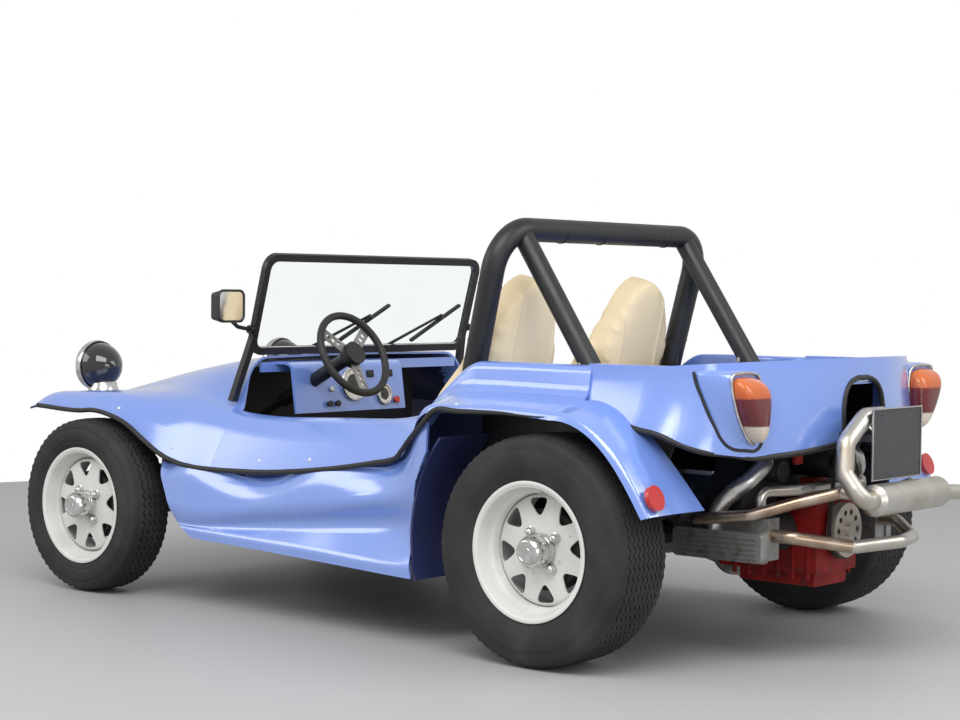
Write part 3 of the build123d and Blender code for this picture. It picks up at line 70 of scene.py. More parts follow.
# camera, floor and light
viewpoint = {
    "place": (-4.443, 5.3973, 1.110), "yaw": -50.07, "pitch": -2.07, "roll": 0.68,
    "lens": 75.18, "sensor": 36,
}
studio = {
    "floorRadius": 4.9, "floorSides": 160, "floorColour": (0.42, 0.42, 0.42, 1), "floorRough": 0.55,
    "sky": 0.66,
}
lamps = [
    {"name": "keyPanel", "place": (-2.2, 3.6, 4.6), "target": (0.2, 0, 0.4),
     "size": (4.5, 3.0), "power": 210.0},
    {"name": "fillPanel", "place": (3.8, 4.2, 3.2), "target": (0.4, 0, 0.5),
     "size": (3.0, 2.5), "power": 60.0},
    {"name": "tailPanel", "place": (-4.6, -1.4, 3.4), "target": (-0.8, 0, 0.5),
     "size": (3.0, 2.5), "power": 80.0},
    {"name": "tailGlow", "place": (-6.4, 3.3, 1.5), "target": (-1.6, 0.5, 0.75),
     "size": (2.4, 2.0), "power": 45.0},
]


def setCamera(v):
    yaw, pitch, roll = (math.radians(v[k]) for k in ("yaw", "pitch", "roll"))
    look = Vector((math.cos(pitch) * math.cos(yaw), math.cos(pitch) * math.sin(yaw), math.sin(pitch)))
    right = look.cross(Vector((0, 0, 1))).normalized()
    up = right.cross(look)
    rolledRight = right * math.cos(roll) + up * math.sin(roll)
    rolledUp = up * math.cos(roll) - right * math.sin(roll)
    bpy.ops.object.camera_add()
    cam = bpy.context.object
    turn = Matrix((rolledRight, rolledUp, -look)).transposed().to_4x4()
    cam.matrix_world = Matrix.Translation(v["place"]) @ turn
    cam.data.sensor_width = v["sensor"]
    cam.data.lens = v["lens"]
    scene.camera = cam


def addLamp(l):
    bpy.ops.object.light_add(type="AREA", location=l["place"])
    lamp = bpy.context.object
    lamp.name = l["name"]
    lamp.data.shape = "RECTANGLE"
    lamp.data.size, lamp.data.size_y = l["size"]
    lamp.data.energy = l["power"]
    lamp.rotation_mode = "QUATERNION"
    lamp.rotation_quaternion = (Vector(l["target"]) - Vector(l["place"])).to_track_quat("-Z", "Y")


def setSky(strength):  # white where the camera sees it, dimmer where it lights the car
    world = bpy.data.worlds.new("studioSky")
    scene.world = world
    world.use_nodes = True
    tree = world.node_tree
    sky = tree.nodes["Background"]
    setInputs(sky, {"Color": (1, 1, 1, 1)})
    path = tree.nodes.new("ShaderNodeLightPath")
    seen = tree.nodes.new("ShaderNodeMath")
    seen.operation = "MAXIMUM"
    tree.links.new(path.outputs["Is Camera Ray"], seen.inputs[0])
    tree.links.new(path.outputs["Is Transmission Ray"], seen.inputs[1])
    level = tree.nodes.new("ShaderNodeMapRange")
    setInputs(level, {"To Min": strength, "To Max": 1.0})
    tree.links.new(seen.outputs["Value"], level.inputs["Value"])
    tree.links.new(level.outputs["Result"], sky.inputs["Strength"])


def layFloor(s):
    bpy.ops.mesh.primitive_circle_add(vertices=s["floorSides"], radius=s["floorRadius"], fill_type="NGON")
    floor = bpy.context.object
    floor.name = "studio_floor"
    mat = bpy.data.materials.new("floorPaint")
    mat.use_nodes = True
    setInputs(shaderOf(mat), {"Base Color": s["floorColour"], "Roughness": s["floorRough"]})
    floor.data.materials.append(mat)


setCamera(viewpoint)
setSky(studio["sky"])
for lamp in lamps:
    addLamp(lamp)
layFloor(studio)
print("studio set")


def patternOn(tree, kind, values):  # a node fed by the piece's own coordinates
    place = tree.nodes.new("ShaderNodeTexCoord")
    pattern = tree.nodes.new(kind)
    setInputs(pattern, values)
    tree.links.new(place.outputs["Object"], pattern.inputs["Vector"])
    return pattern


def addBump(mat, pattern, strength, depth):
    tree = mat.node_tree
    bump = tree.nodes.new("ShaderNodeBump")
    setInputs(bump, {"Strength": strength, "Distance": depth})
    tree.links.new(pattern.outputs["Fac"], bump.inputs["Height"])
    tree.links.new(bump.outputs["Normal"], shaderOf(mat).inputs["Normal"])


def setStops(ramp, stops):  # colours at their places along a ramp
    while len(ramp.color_ramp.elements) < len(stops):
        ramp.color_ramp.elements.new(0.5)
    for stop, (position, colour) in zip(ramp.color_ramp.elements, stops):
        stop.position = position
        stop.color = (*colour, 1)


looks = {  # shared by the finishes
    "coatRough": 0.06, "tintStops": (0.35, 0.68), "wearRange": (0.3, 0.7), "grainDepth": 0.001,
    "ribDepth": 0.002, "ribScale": 0.314,
}


# finishes: base and patch colours, patch size, roughness range, then what differs
def newFinish(name, base, patch, scale, rough, metal=0.0, coat=0.0, grain=None, gloss=0.5):
    mat = bpy.data.materials.new(name)
    mat.use_nodes = True
    tree, shader = mat.node_tree, shaderOf(mat)
    setInputs(shader, {"Metallic": metal, "Specular IOR Level": gloss})
    setInputs(shader, {"Coat Weight": coat, "Coat Roughness": looks["coatRough"]})
    cloud = patternOn(tree, "ShaderNodeTexNoise", {"Scale": scale, "Detail": 6})
    tint = tree.nodes.new("ShaderNodeValToRGB")
    setStops(tint, list(zip(looks["tintStops"], (base, patch))))
    tree.links.new(cloud.outputs["Fac"], tint.inputs["Fac"])
    tree.links.new(tint.outputs["Color"], shader.inputs["Base Color"])
    wear = tree.nodes.new("ShaderNodeMapRange")
    low, high = looks["wearRange"]
    setInputs(wear, {"From Min": low, "From Max": high, "To Min": rough[0], "To Max": rough[1]})
    tree.links.new(cloud.outputs["Fac"], wear.inputs["Value"])
    tree.links.new(wear.outputs["Result"], shader.inputs["Roughness"])
    if grain:
        size, height = grain
        fine = patternOn(tree, "ShaderNodeTexNoise", {"Scale": size, "Detail": 3})
        addBump(mat, fine, height, looks["grainDepth"])
    return mat


def addSpots(mat, colour, scale, low, high, amount):  # rust or dirt over a finish
    tree, shader = mat.node_tree, shaderOf(mat)
    under = shader.inputs["Base Color"].links[0].from_socket
    cloud = patternOn(tree, "ShaderNodeTexNoise", {"Scale": scale, "Detail": 9})
    cut = tree.nodes.new("ShaderNodeMapRange")
    setInputs(cut, {"From Min": low, "From Max": high, "To Max": amount})
    tree.links.new(cloud.outputs["Fac"], cut.inputs["Value"])
    mix = tree.nodes.new("ShaderNodeMix")
    mix.data_type = "RGBA"
    tree.links.new(cut.outputs["Result"], mix.inputs["Factor"])
    tree.links.new(under, mix.inputs["A"])
    mix.inputs["B"].default_value = (*colour, 1)
    tree.links.new(mix.outputs["Result"], shader.inputs["Base Color"])


def addBands(mat, axis, low, high, stops):  # colours along one axis of the frame, metres
    tree = mat.node_tree
    split = patternOn(tree, "ShaderNodeSeparateXYZ", {})
    share = tree.nodes.new("ShaderNodeMapRange")
    setInputs(share, {"From Min": low, "From Max": high})
    tree.links.new(split.outputs[axis], share.inputs["Value"])
    ramp = tree.nodes.new("ShaderNodeValToRGB")
    setStops(ramp, stops)
    tree.links.new(share.outputs["Result"], ramp.inputs["Fac"])
    tree.links.new(ramp.outputs["Color"], shaderOf(mat).inputs["Base Color"])


def addRibs(mat, axis, pitch, height):  # fine moulded flutes along one axis
    wave = patternOn(mat.node_tree, "ShaderNodeTexWave", {"Scale": looks["ribScale"] / pitch})
    wave.bands_direction = axis
    addBump(mat, wave, height, looks["ribDepth"])


finish = {
    "body_blue": newFinish("glossBlue", (0.150, 0.262, 0.69), (0.170, 0.287, 0.72), 1.4, (0.2, 0.28),
                           coat=1.0, grain=(260, 0.03)),
    "black_paint": newFinish("satinBlack", (0.008, 0.008, 0.009), (0.016, 0.016, 0.017), 9, (0.34, 0.5),
                             grain=(500, 0.06)),
    "tyre": newFinish("tyreRubber", (0.020, 0.020, 0.020), (0.036, 0.036, 0.035), 7, (0.62, 0.85),
                      grain=(420, 0.2), gloss=0.3),
    "rubber": newFinish("mattRubber", (0.01, 0.01, 0.01), (0.017, 0.017, 0.017), 20, (0.45, 0.6),
                        grain=(600, 0.15)),
    "rim_white": newFinish("wheelWhite", (0.70, 0.70, 0.68), (0.62, 0.615, 0.59), 9, (0.32, 0.5),
                           grain=(300, 0.05)),
    "chrome": newFinish("brightChrome", (0.72, 0.72, 0.71), (0.52, 0.51, 0.49), 30, (0.1, 0.3), metal=1.0),
    "vinyl": newFinish("creamVinyl", (0.79, 0.64, 0.40), (0.85, 0.71, 0.455), 5, (0.46, 0.58),
                       grain=(900, 0.25)),
    "steel": newFinish("brushedSteel", (0.60, 0.58, 0.54), (0.47, 0.44, 0.39), 9, (0.3, 0.46),
                       metal=0.95, grain=(240, 0.06)),
    "iron": newFinish("darkIron", (0.025, 0.024, 0.023), (0.06, 0.05, 0.045), 16, (0.55, 0.8),
                      metal=0.4, grain=(260, 0.3)),
    "alloy": newFinish("castAlloy", (0.36, 0.36, 0.35), (0.22, 0.21, 0.2), 14, (0.38, 0.6),
                       metal=0.85, grain=(380, 0.25)),
    "engine_red": newFinish("engineRed", (0.25, 0.007, 0.005), (0.13, 0.005, 0.004), 10, (0.5, 0.75),
                            grain=(240, 0.2), gloss=0.3),
    "lens_red": newFinish("redLens", (0.45, 0.01, 0.008), (0.5, 0.014, 0.01), 20, (0.1, 0.14), coat=0.6),
    "plate_dark": newFinish("plateDark", (0.035, 0.037, 0.042), (0.045, 0.047, 0.052), 12, (0.35, 0.45),
                            grain=(400, 0.05)),
    "gauge_black": newFinish("dialBlack", (0.012, 0.012, 0.012), (0.02, 0.02, 0.02), 30, (0.25, 0.35),
                             coat=0.5),
    "lens_clear": newFinish("clearLens", (0.7, 0.72, 0.73), (0.62, 0.64, 0.66), 20, (0.08, 0.12), coat=0.8),
    "glass": newFinish("screenGlass", (0.9, 0.94, 0.93), (0.92, 0.95, 0.94), 3, (0.01, 0.02)),
}
setInputs(shaderOf(finish["body_blue"]), {"Coat IOR": 2.0, "Coat Roughness": 0.17})
setInputs(shaderOf(finish["glass"]), {"Transmission Weight": 1.0, "IOR": 1.12})
lampBands = newFinish("lampLens", (0.4, 0.01, 0.01), (0.4, 0.01, 0.01), 10, (0.08, 0.12), coat=0.4)
addBands(lampBands, "Z", 0.664, 0.872, [
    (0.0, (0.64, 0.57, 0.48)), (0.27, (0.60, 0.53, 0.44)), (0.295, (0.11, 0.006, 0.008)),
    (0.66, (0.13, 0.007, 0.009)), (0.685, (0.52, 0.10, 0.015)), (1.0, (0.60, 0.14, 0.02)),
])
addRibs(lampBands, "Z", 0.006, 0.25)
addRibs(finish["lens_clear"], "Y", 0.008, 0.3)
addRibs(finish["lens_red"], "Z", 0.004, 0.2)
addSpots(finish["rim_white"], (0.30, 0.19, 0.11), 30, 0.66, 0.76, 0.6)
addSpots(finish["steel"], (0.40, 0.30, 0.19), 6, 0.54, 0.7, 0.55)
addSpots(finish["tyre"], (0.075, 0.068, 0.06), 3.5, 0.52, 0.78, 0.5)
addSpots(finish["engine_red"], (0.03, 0.02, 0.02), 22, 0.56, 0.7, 0.7)
addSpots(finish["alloy"], (0.06, 0.05, 0.04), 26, 0.55, 0.75, 0.7)
bronzePipe = newFinish("heatedPipe", (0.36, 0.25, 0.17), (0.50, 0.43, 0.37), 11, (0.22, 0.4),
                       metal=0.95, grain=(260, 0.1))
addSpots(bronzePipe, (0.16, 0.08, 0.045), 8, 0.52, 0.72, 0.6)
silverHose = newFinish("foilHose", (0.62, 0.62, 0.61), (0.45, 0.45, 0.44), 40, (0.25, 0.4), metal=0.9)
paleRim = newFinish("dialWhite", (0.75, 0.74, 0.7), (0.7, 0.69, 0.65), 40, (0.3, 0.4))
mirrorFace = newFinish("mirrorFace", (0.86, 0.86, 0.85), (0.82, 0.82, 0.81), 8, (0.03, 0.06), metal=1.0)
rustSeam = newFinish("rustSeam", (0.09, 0.05, 0.03), (0.30, 0.22, 0.16), 40, (0.6, 0.8), grain=(500, 0.3))
lampBlack = newFinish("lampBlack", (0.007, 0.007, 0.008), (0.010, 0.010, 0.011), 8, (0.07, 0.12), coat=1.0)
redKnob = newFinish("redKnob", (0.5, 0.02, 0.015), (0.45, 0.02, 0.015), 40, (0.25, 0.3), coat=0.4)
# painted shade: a darker navy copy of the body blue, for inner walls, wheel-house faces and undersides that
# lie in shade
paintedShadeNavy = newFinish("paintedShadeNavy", (0.020, 0.027, 0.100), (0.028, 0.037, 0.130), 5, (0.4, 0.55),
                      grain=(300, 0.2))

for row in frame["record"]["subparts"]:
    node = nodes[row["node"]]
    node.data.materials.clear()
    node.data.materials.append(finish[row["material_slot"]])


def repaint(nodeName, mat, test):  # faces of a CAD piece that carry another finish
    mesh = nodes[nodeName].data
    mesh.materials.append(mat)
    index = len(mesh.materials) - 1
    for face in mesh.polygons:
        if test(face.center, face.normal):
            face.material_index = index


limits = {  # metres, where a CAD piece changes its finish
    "hubCollar": 0.058, "spokeInner": 0.043, "spokeOuter": 0.1345, "mirrorLow": 0.99, "lampStem": 0.716,
    "hotPipe": -1.50, "archRadius": 0.4875, "archOuter": 0.838, "tubWall": 0.584, "quarterTop": 0.82,
    "cowlHalf": 0.62, "cowlFront": 0.72, "deckLow": 0.826, "deckFront": -0.41,
}
wheels = {  # millimetres
    "front": {"ahead": frontAxle, "middle": 729.0, "radius": 311.0, "width": 185.0,
              "rimWidth": 166.0, "inset": 42.0},
    "rear": {"ahead": 0.0, "middle": 745.0, "radius": 343.0, "width": 255.0,
             "rimWidth": 228.0, "inset": 71.0},
}


def wheelCentre(end, side):
    w = wheels[end]
    return spot(w["ahead"], side * w["middle"], w["radius"])


for end in wheels:
    for side, sideName in sideNames.items():
        centre = wheelCentre(end, side)
        repaint(f"hub_{end}_{sideName}", finish["iron"],
                lambda c, n: math.hypot(c.x - centre.x, c.z - centre.z) > limits["hubCollar"])

columnSlope = math.radians(27.2)
columnAxis = Vector((math.cos(columnSlope), 0, -math.sin(columnSlope)))
handWheel = spot(1190, 345, 874)


def fromColumn(point):
    away = point - handWheel
    return (away - columnAxis * away.dot(columnAxis)).length


repaint("steering_wheel", finish["alloy"],
        lambda c, n: limits["spokeInner"] < fromColumn(c) < limits["spokeOuter"])
repaint("mirrors", mirrorFace, lambda c, n: n.x < -0.95 and c.z > limits["mirrorLow"])
nodes["headlamps"].data.materials[0] = lampBlack
repaint("headlamps", finish["chrome"], lambda c, n: c.z < limits["lampStem"])
repaint("exhaust", bronzePipe, lambda c, n: c.x > limits["hotPipe"])
# painted shade: the inner arch faces of the side panels and the inward faces of the cockpit sides take the
# darker navy copy of the body blue
for side, sideName in sideNames.items():
    axle = wheelCentre("rear", side)
    repaint(f"side_panel_{sideName}", paintedShadeNavy,
            lambda c, n: math.hypot(c.x - axle.x, c.z - axle.z) < limits["archRadius"]
            and abs(c.y) < limits["archOuter"])
    repaint(f"cockpit_side_{sideName}", paintedShadeNavy,
            lambda c, n: n.y * side < -0.3 and abs(c.y) < limits["tubWall"])
# painted shade: the downward faces of the rear body take the darker navy copy of the body blue
repaint("rear_body", paintedShadeNavy, lambda c, n: n.z < -0.4 and c.z < limits["quarterTop"])
repaint("front_body", paintedShadeNavy,  # underside in the darker navy as painted shade, but not the cowl over the dash
        lambda c, n: n.z < -0.3 and not (abs(c.y) < limits["cowlHalf"] and c.x < limits["cowlFront"]))
repaint("rear_deck", finish["black_paint"],
        lambda c, n: c.z < limits["deckLow"] and c.x < limits["deckFront"])
print("finishes on", len(nodes), "CAD pieces")


# shop tools
def only(obj):
    bpy.ops.object.select_all(action="DESELECT")
    obj.select_set(True)
    bpy.context.view_layer.objects.active = obj


def apply(obj, kind, **values):  # add a modifier and apply it
    only(obj)
    mod = obj.modifiers.new(kind, kind)
    for key, value in values.items():
        setattr(mod, key, value)
    bpy.ops.object.modifier_apply(modifier=mod.name)


def settle(obj, name, slot, mat=None, body="chassis"):  # place into the mesh, name, finish and body
    only(obj)
    bpy.ops.object.transform_apply(location=True, rotation=True, scale=True)
    obj.name = obj.data.name = name
    obj.data.materials.clear()
    obj.data.materials.append(mat or finish[slot])
    bpy.ops.object.shade_smooth_by_angle(angle=math.radians(40))
    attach(obj, body)
    return obj


def edit(obj, select="SELECT"):
    only(obj)
    bpy.ops.object.mode_set(mode="EDIT")
    bpy.ops.mesh.select_all(action=select)


def leaveEdit():
    bpy.ops.object.mode_set(mode="OBJECT")


def spun(points, centre, axis, steps):  # a profile of (along, radius) in millimetres, spun round the axis
    axis = Vector(axis).normalized()
    out = Vector((0, 0, 1)) if abs(axis.z) < 0.9 else Vector((1, 0, 0))
    out = (out - axis * out.dot(axis)).normalized()
    run = [Vector(centre) + axis * a / 1000 + out * r / 1000 for a, r in points]
    bpy.ops.object.select_all(action="DESELECT")
    bpy.ops.mesh.primitive_plane_add(size=0.001, location=run[0])
    obj = bpy.context.object
    only(obj)
    bpy.ops.object.transform_apply(location=True, rotation=True, scale=True)
    edit(obj)
    bpy.ops.mesh.merge(type="CENTER")
    for a, b in zip(run, run[1:]):
        bpy.ops.mesh.extrude_region_move(TRANSFORM_OT_translate={"value": b - a})
    bpy.ops.mesh.select_all(action="SELECT")
    bpy.ops.mesh.spin(steps=steps, angle=2 * math.pi, center=centre, axis=axis)
    bpy.ops.mesh.select_all(action="SELECT")
    bpy.ops.mesh.remove_doubles(threshold=0.00002)
    bpy.ops.mesh.normals_make_consistent(inside=False)
    leaveEdit()
    return obj


# a round run through points, its last knots thinned to the shares in taper
def tube(points, radius, closed=False, smooth=6, sides=4, handles="AUTO", taper=()):
    bpy.ops.object.select_all(action="DESELECT")
    bpy.ops.curve.primitive_bezier_curve_add(location=(0, 0, 0))
    obj = bpy.context.object
    line = obj.data.splines[0]
    line.bezier_points.add(len(points) - len(line.bezier_points))
    for knot, place in zip(line.bezier_points, points):
        knot.co = place
        knot.handle_left_type = knot.handle_right_type = handles
    for knot, share in zip(reversed(line.bezier_points), taper):
        knot.radius = share
    line.use_cyclic_u = closed
    obj.data.resolution_u = smooth
    obj.data.bevel_depth = radius
    obj.data.bevel_resolution = sides
    obj.data.use_fill_caps = not closed
    only(obj)
    bpy.ops.object.convert(target="MESH")
    return bpy.context.object


def hug(nodeName, points, lift):  # points set on a CAD piece's surface, lift in metres
    held = []
    for p in points:
        place, normal = nodes[nodeName].closest_point_on_mesh(p)[1:3]
        held.append(place + normal * lift)
    return held


def mirrored(points):
    return [Vector((p.x, -p.y, p.z)) for p in points]


def onSide(points, side):  # points given for the left, put on either side
    return points if side > 0 else mirrored(points)


def bodyAt(x):  # the CAD piece that has the body's left edge there, millimetres
    if x > 1480:
        return "front_body"
    return "cockpit_side_left" if x > 598 else "rear_body"


def joined(pieces):
    bpy.ops.object.select_all(action="DESELECT")
    for p in pieces:
        p.select_set(True)
    bpy.context.view_layer.objects.active = pieces[0]
    if len(pieces) > 1:
        bpy.ops.object.join()
    return bpy.context.object


def copyOf(obj, move):
    twin = obj.copy()
    twin.data = obj.data.copy()
    twin.data.transform(move)
    scene.collection.objects.link(twin)
    return twin


def twinAcross(obj):  # the same piece on the other side of the car
    twin = copyOf(obj, Matrix.Diagonal((1, -1, 1, 1)))
    edit(twin)
    bpy.ops.mesh.flip_normals()
    leaveEdit()
    return twin


def outlined(points):  # a flat face through points, ready to be extruded
    bpy.ops.object.select_all(action="DESELECT")
    bpy.ops.mesh.primitive_circle_add(vertices=len(points), radius=0.1, fill_type="NGON", location=(0, 0, 0))
    obj = bpy.context.object
    for v, place in zip(obj.data.vertices, points):
        v.co = place
    return obj


def raised(obj, rings):  # extrude the selected end face from ring to ring of the same count
    for ring in rings:
        edit(obj, "DESELECT")
        leaveEdit()
        last = max(obj.data.polygons, key=lambda f: (len(f.vertices) == len(ring), f.index))
        last.select = True
        bpy.ops.object.mode_set(mode="EDIT")
        bpy.ops.mesh.extrude_region_move(TRANSFORM_OT_translate={"value": (0, 0, 0.001)})
        leaveEdit()
        top = [obj.data.vertices[i] for f in obj.data.polygons if f.select for i in f.vertices]
        for v, place in zip(top, ring):
            v.co = place
    edit(obj)
    bpy.ops.mesh.normals_make_consistent(inside=False)
    leaveEdit()


def turnAbout(centre, axis, angle):
    return Matrix.Translation(centre) @ Matrix.Rotation(angle, 4, axis) @ Matrix.Translation(-Vector(centre))


def turnTo(facing):  # turns an object's upper end that way
    return Vector(facing).to_track_quat("Z", "Y").to_matrix().to_4x4()


def box(size):  # about the origin, metres
    bpy.ops.object.select_all(action="DESELECT")
    bpy.ops.mesh.primitive_cube_add(size=1)
    obj = bpy.context.object
    obj.data.transform(Matrix.Diagonal((*size, 1)))
    return obj


def bolt(place, facing, radius, height):  # hexagon head with a domed end
    bpy.ops.object.select_all(action="DESELECT")
    bpy.ops.mesh.primitive_cylinder_add(vertices=6, radius=radius, depth=height)
    obj = bpy.context.object
    edit(obj, "DESELECT")
    leaveEdit()
    for face in obj.data.polygons:
        face.select = face.normal.z > 0.9
    bpy.ops.object.mode_set(mode="EDIT")
    bpy.ops.mesh.inset(thickness=radius * 0.22)
    bpy.ops.mesh.extrude_region_move(TRANSFORM_OT_translate={"value": (0, 0, height * 0.25)})
    bpy.ops.transform.resize(value=(0.6, 0.6, 1))
    leaveEdit()
    obj.data.transform(Matrix.Translation(place) @ turnTo(facing))
    return obj


# tyres: sidewalls, grooved zigzag tread and toothed shoulders
tread = {
    "front": {"ribs": 5, "waves": 63, "sway": 6.0, "groove": 7.5, "depth": 7.0, "notch": 5.0},
    "rear": {"ribs": 9, "waves": 70, "sway": 5.5, "groove": 6.0, "depth": 7.0, "notch": 3.5},
}
tyreShape = {  # millimetres, the same for both sizes
    "seat": 190.8, "shoulder": 30, "crownDrop": 4, "draft": 1.5, "beadInset": 5.3, "flange": 210.0,
    "swayDepth": 14, "notchDepth": 26, "slack": 2,
    "wallSteps": {1: -2.6, 3: 0.4, 8: 0.6, 9: -2.4, 11: -1.6},
}


def arcThrough(a, b, c, count):  # points along the arc from a by b to c
    (ax, ay), (bx, by), (cx, cy) = a, b, c
    aa, bb, cc = ax * ax + ay * ay, bx * bx + by * by, cx * cx + cy * cy
    d = 2 * (ax * (by - cy) + bx * (cy - ay) + cx * (ay - by))
    ux = (aa * (by - cy) + bb * (cy - ay) + cc * (ay - by)) / d
    uy = (aa * (cx - bx) + bb * (ax - cx) + cc * (bx - ax)) / d
    r = math.hypot(ax - ux, ay - uy)
    start, middle, end = (math.atan2(y - uy, x - ux) for x, y in (a, b, c))
    turn = (end - start) % math.tau
    if (middle - start) % math.tau > turn:
        turn -= math.tau
    angles = [start + turn * i / count for i in range(count + 1)]
    return [(ux + r * math.cos(angle), uy + r * math.sin(angle)) for angle in angles]


def tyreHalf(w, t):  # one side of the section, from the crown out to the bead
    s = tyreShape
    half, radius = w["width"] / 2, w["radius"]
    height = radius - s["seat"]
    flat = half - s["shoulder"]
    pitch = 2 * flat / t["ribs"]
    run = []
    for i in range(t["ribs"] // 2):
        y = pitch / 2 + i * pitch
        top = radius - s["crownDrop"] * (y / flat) ** 2
        inner, outer = y - t["groove"] / 2, y + t["groove"] / 2
        run += [(inner, top), (inner + s["draft"], top - t["depth"])]
        run += [(outer - s["draft"], top - t["depth"]), (outer, top)]
    edge = (flat, radius - s["crownDrop"])
    corner = (half - 8, radius - 0.2 * height)
    run.append(edge)
    run += arcThrough(edge, (half - 14, radius - 0.08 * height), corner, 4)[1:]
    bead = w["rimWidth"] / 2 - s["beadInset"]
    wall = arcThrough(corner, (half, s["seat"] + 0.52 * height), (bead, s["flange"]), 14)[1:]
    for i, (y, r) in enumerate(wall):
        run.append((y + s["wallSteps"].get(i, 0.0), r))
    run += [(bead, s["seat"] + 10), (bead - 10, s["seat"])]
    return run


def makeTyre(end, side):
    w, t, s = wheels[end], tread[end], tyreShape
    half = tyreHalf(w, t)
    loop = [(-y, r) for y, r in reversed(half)] + half
    loop.append(loop[0])
    centre = wheelCentre(end, side)
    steps = t["waves"] * 2
    obj = spun(loop, centre, (0, 1, 0), steps)
    flat = w["width"] / 2 - s["shoulder"] - s["slack"]
    for v in obj.data.vertices:
        along = (v.co.y - centre.y) * 1000
        dx, dz = v.co.x - centre.x, v.co.z - centre.z
        r = math.hypot(dx, dz) * 1000
        step = round(math.atan2(dx, dz) / math.tau * steps) % 2
        if r > w["radius"] - s["swayDepth"] and abs(along) < flat:
            v.co.y += (1, -1)[step] * t["sway"] / 1000
        elif r > w["radius"] - s["notchDepth"] and step == 0 and abs(along) >= flat:
            cut = 1 - t["notch"] / r
            v.co.x, v.co.z = centre.x + dx * cut, centre.z + dz * cut
    sideName = sideNames[side]
    settle(obj, f"tyre_tread_{end}_{sideName}", "tyre", body=f"wheel_{end}_{sideName}")
    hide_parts(f"tyre_{end}_{sideName}")


for end in wheels:
    for side in sideNames:
        makeTyre(end, side)
print("tyres made")

# rims: stepped barrel, flat disc with rounded windows, rusty seam where they meet
rimShape = {
    "windows": 8, "ring": 123.0, "base": 82.0, "height": 64.0, "round": 27.0, "turn": 6.0,
    "cutBack": 0.04, "cutDepth": 0.06, "steps": 96,
}


def windowCutter(centre, face):
    r = rimShape
    across, tall = r["base"] / 2, r["height"] / 2
    corners = [Vector((0, -tall)), Vector((across, tall)), Vector((-across, tall))]
    outline = []
    for i, corner in enumerate(corners):
        start = corner + (corners[i - 1] - corner).normalized() * r["round"]
        end = corner + (corners[(i + 1) % 3] - corner).normalized() * r["round"]
        for share in (0, 0.25, 0.5, 0.75, 1):
            outline.append(start.lerp(corner, share).lerp(corner.lerp(end, share), share))
    first = outlined([(p.x / 1000, p.y / 1000, 0) for p in outline])
    edit(first)
    bpy.ops.mesh.extrude_region_move(TRANSFORM_OT_translate={"value": (0, 0, r["cutDepth"])})
    bpy.ops.mesh.select_all(action="SELECT")
    bpy.ops.mesh.normals_make_consistent(inside=False)
    leaveEdit()
    outward = Matrix(((-1, 0, 0), (0, 0, 1), (0, 1, 0))).to_4x4()
    place = centre + Vector((0, face / 1000 - r["cutBack"], r["ring"] / 1000))
    first.data.transform(Matrix.Translation(place) @ outward)
    turns = [math.radians(r["turn"]) + math.tau * i / r["windows"] for i in range(r["windows"])]
    cutters = [copyOf(first, turnAbout(centre, "Y", turn)) for turn in turns]
    bpy.data.objects.remove(first)
    return joined(cutters)


def makeRim(end):
    w = wheels[end]
    half = w["rimWidth"] / 2
    face = half - w["inset"]
    centre = wheelCentre(end, 1)
    axis, steps = (0, 1, 0), rimShape["steps"]
    barrel = [
        (half - 1, 208), (half, 205), (half - 1, 198), (half - 5, 192), (half - 12, 188), (half - 24, 186.5),
        (half - 28, 184), (half - 40, 183), (half - 50, 174), (half - 58, 168), (58 - half, 168),
        (50 - half, 174), (38 - half, 184), (5 - half, 187), (1 - half, 192), (-half, 204), (1 - half, 208),
        (4 - half, 207.5), (5 - half, 190.4), (40 - half, 189.5), (54 - half, 171.5), (half - 54, 171.5),
        (half - 40, 189.5), (half - 5, 190.4), (half - 4, 207.5), (half - 1, 208),
    ]
    disc = [
        (face, 47), (face, 152), (face - 1.5, 158), (face - 6, 163.5), (face - 16, 168), (face - 22, 168),
        (face - 22, 164), (face - 14, 161), (face - 7, 156), (face - 5, 150), (face - 5, 47), (face, 47),
    ]
    weld = [
        (face - 12, 164.2), (face - 9, 165.2), (face - 10.5, 167.8), (face - 14, 167), (face - 12, 164.2),
    ]
    hoop = spun(barrel, centre, axis, steps)
    plate = spun(disc, centre, axis, steps)
    cutters = windowCutter(centre, face)
    apply(plate, "BOOLEAN", operation="DIFFERENCE", object=cutters, solver="EXACT")
    bpy.data.objects.remove(cutters)
    rim = joined([hoop, plate])
    seam = spun(weld, centre, axis, steps)
    for sideName, twinned in (("left", rim), ("right", twinAcross(rim))):
        settle(twinned, f"wheel_rim_{end}_{sideName}", "rim_white", body=f"wheel_{end}_{sideName}")
        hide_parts(f"rim_{end}_{sideName}")
    for sideName, twinned in (("left", seam), ("right", twinAcross(seam))):
        settle(twinned, f"rim_seam_{end}_{sideName}", "iron", rustSeam, f"wheel_{end}_{sideName}")


for end in wheels:
    makeRim(end)
print("rims made")

# acorn nuts, the hub's cap and its locking ring
wheelTrim = {
    "nuts": 4, "circle": 65.0, "turn": 38.0, "knurls": 40, "knurlFrom": 0.0505, "knurlShare": 0.96,
}
nutProfile = [(-1, 0), (-1, 17), (3, 17), (4.5, 13.5), (15, 13), (20, 10.5), (23.5, 6), (25, 0)]
capProfile = [
    (26, 43), (27, 46.4), (30, 47.2), (56, 47.2), (62, 45.5), (72, 39.5), (77, 35), (78.4, 32), (78.4, 28),
    (77, 26.5), (77, 14), (78, 13), (78, 0),
]
ringProfile = [(-2, 43), (-2, 50), (2, 52), (12, 52), (16, 50), (16, 47), (24, 46), (24, 43)]


